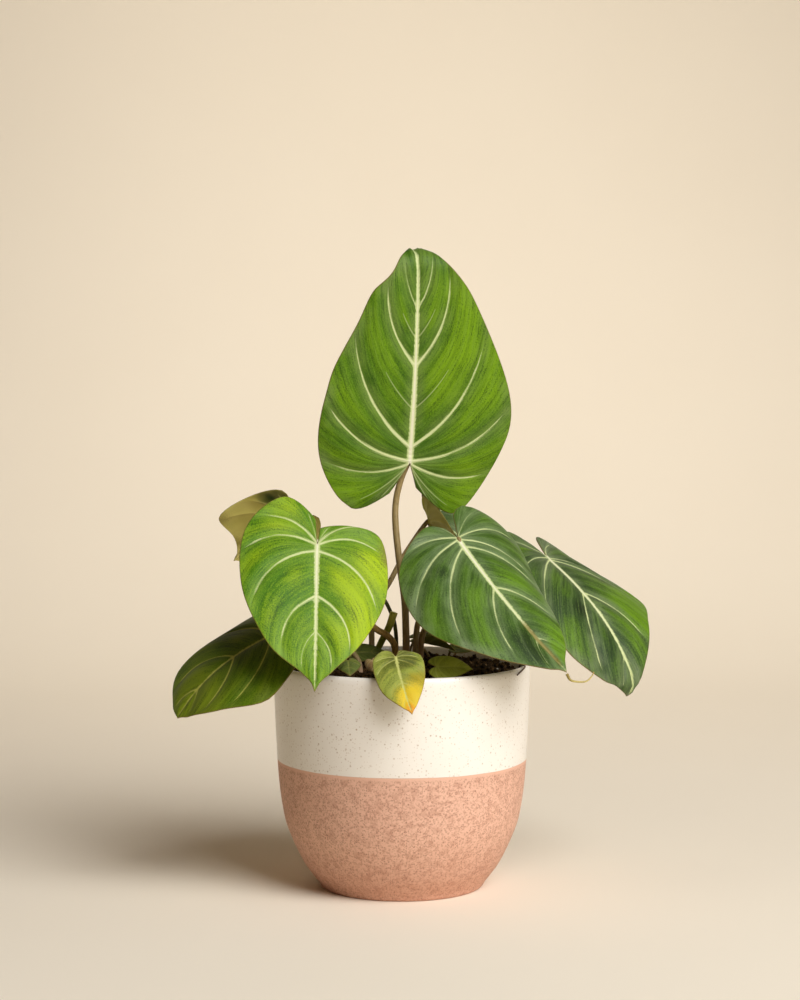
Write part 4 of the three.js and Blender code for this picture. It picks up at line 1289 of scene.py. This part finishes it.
# %% Stalks
STALK_DEPTH = 14
RINGS_PER_PART = 8
END_AHEAD, END_BELOW = 3, 0.9  # a stalk's end runs on under the blade, to its main vein
END_THIN = 0.7


def buried_start(foot):
    """The first three points of a stalk: two in the mix and one just above it."""
    top = mix_height(math.hypot(*foot))
    return [[*foot, top + rise] for rise in (-STALK_DEPTH, -STALK_DEPTH / 2, 1)]


def under_blade(leaf, ahead, below):
    """The junction, moved ahead along the midrib and down from the blade."""
    along, _, up = held_frame(leaf)
    return np.array(leaf["junction"]) + along * ahead - up * below


for number, leaf in LEAVES.items():
    end = [under_blade(leaf, 0, leaf["under"]), under_blade(leaf, END_AHEAD, END_BELOW)]
    path = [*buried_start(leaf["foot"]), *leaf["via"], *end]
    thick, thin = leaf["radii"]
    radii = [thick + (thin - thick) * k / 5 for k in range(6)] + [thin * END_THIN]
    material = stalk_material(f"stalk_{number}_skin", **STALK_LOOKS.get(number, BROWN))
    rings = RINGS_PER_PART * (len(path) - 1)
    add_tube(f"petiole_{number}", path, radii, rings, material, [f"stalk_{number}"])
print("stalks:", len(LEAVES))

# %% [markdown]
# ## Young leaves
# Small leaves stand low in the mix around the crown. Each is a small heart of the same growth.
# They could be copies of one leaf, but no two are held alike. So the surface function of the
# grown leaves makes them too, each on a short stalk of its own.

# %% Young leaves
HEART = [[-0.11, 0.14], [-0.19, 0.46], [0, 0.93], [0.3, 0.97], [0.6, 0.7], [0.85, 0.28]]
YOUNG_HABIT = dict(HABIT, droop=-25, fold=[10, 10], quilt=0, wave=0.3, waves=2, veinSize=0.35)
YOUNG_HALF = 0.3
YOUNG_RADII, YOUNG_RINGS, YOUNG_SIDES = [0.9, 0.63], 24, 10
YOUNG = {
    1: dict(junction=[-28, -12, 138], heading=12, pitch=4, roll=34, length=22, halfWidth=8,
            curl=[-30, -30], foot=[-30, -11]),
    2: dict(junction=[-30.5, -43, 137.4], heading=-84, pitch=-20, roll=0, length=15,
            halfWidth=7.5, curl=[-45, -45], foot=[-30.5, -38]),
    3: dict(junction=[-17, -44, 137.8], heading=-70, pitch=-20, roll=8, length=14, halfWidth=6,
            curl=[-95, -95], foot=[-16, -38]),
    4: dict(junction=[19, -47, 134.5], heading=2, pitch=2, roll=42, length=22, halfWidth=9,
            curl=[-35, -35], foot=[16, -46]),
    5: dict(junction=[13, 15, 140.5], heading=10, pitch=-6, roll=-14, length=20, halfWidth=8.5,
            curl=[25, 25], foot=[16, 17]),
    6: dict(junction=[7.5, 33, 140.9], heading=8, pitch=12, roll=20, length=19, halfWidth=6,
            curl=[-20, -20], foot=[4, 33]),
    7: dict(junction=[30, 27, 135.5], heading=5, pitch=2, roll=24, length=14, halfWidth=6,
            curl=[-20, -20], foot=[28, 30]),
}
YOUNG_LOOKS = {
    1: dict(GREEN, deep=(84, 98, 30), bright=(120, 132, 50), sheen_colour=(100, 112, 56),
            vein=(140, 142, 70)),
    3: dict(GREEN, deep=(130, 100, 56), bright=(170, 140, 90), sheen_colour=(150, 120, 80),
            vein=(180, 160, 110)),
    # Young leaf 4's pale greens are painted light, for the shade of leaf 5 that it lies in.
    4: dict(GREEN, deep=(164, 176, 50), bright=(182, 190, 72), sheen_colour=(172, 182, 74),
            vein=(186, 194, 88)),
    5: dict(GREEN, deep=(56, 62, 20), bright=(90, 96, 34), sheen_colour=(76, 82, 36),
            vein=(120, 120, 60)),
}
for number, young in YOUNG.items():
    name = f"young_{number}"
    outline = (np.array(HEART) * [young["length"], young["halfWidth"]]).tolist()
    leaf = dict(YOUNG_HABIT, **young, left=outline, right=outline)
    material = leaf_material(name, **YOUNG_LOOKS.get(number, YOUNG_LOOKS[1]))
    add_blade(name, leaf, material, [f"young_leaf_{number}"], YOUNG_HALF)
    end = [under_blade(leaf, -1.2, 2.2), under_blade(leaf, 0, YOUNG_HALF)]
    path = [*buried_start(leaf["foot"]), *end]
    skin = stalk_material(f"{name}_stalk", **BROWN)
    add_tube(f"{name}_petiole", path, YOUNG_RADII, YOUNG_RINGS, skin,
             sides=YOUNG_SIDES)
print("young leaves:", len(YOUNG))

# %% [markdown]
# ## Sheath and dried threads
# Beside the crown stands the green sheath that the newest leaf came out of, cut off at the top.
# Leaf 5 ends in a dried drip tip, and a dried tendril hooks over the rim of the pot. They are
# small enough to be painted on their neighbours, but each stands clear of them and throws its
# own shadow. So each is a tube like the stalks, with its own colours.

# %% Sheath and threads
THREAD_RINGS = 40
SHEATH = [*buried_start([-15, -1]), [-14.6, -1, 137], [-12, -1.4, 143], [-7.4, -2.4, 152],
          [-4.6, -3, 160.5]]
DRIED_TIP = [[91.4, -72.9, 133.9], [93.2, -73.8, 130.8], [96.6, -74.5, 129.8],
             [101.8, -75, 130], [105, -75, 132.8], [106.2, -75, 135.4]]
TENDRIL = [[67.6, -16.6, 129.6], [68.4, -18.6, 131.7], [69.7, -22.2, 132.5],
           [70.3, -27.8, 131.5], [65.6, -38.9, 128.6]]
# Path, radii, slot, node, and the material's name with the colours of its foot, middle and top.
THREADS = {
    "sheath_stub": (SHEATH, [1.2, 2.3], "sheath", "sheath",
                    "sheath_skin", (96, 104, 30), (128, 136, 36), (200, 198, 84)),
    "drip_tip": (DRIED_TIP, [0.9, 0.6, 0.4, 0.3], "dried", "dried_tip",
                 "dry_gold", (150, 130, 60), (206, 186, 110), (168, 140, 80)),
    "rim_tendril": (TENDRIL, [0.5, 0.7, 0.4], "dried", "dried_tendril",
                    "dry_brown", (90, 70, 52), (120, 100, 80), (80, 62, 46)),
}
for name, (path, radii, slot, node, *look) in THREADS.items():
    add_tube(name, path, radii, THREAD_RINGS, stalk_material(*look), [node])
print("mesh objects, the packed model's among them:", len(bpy.data.meshes))
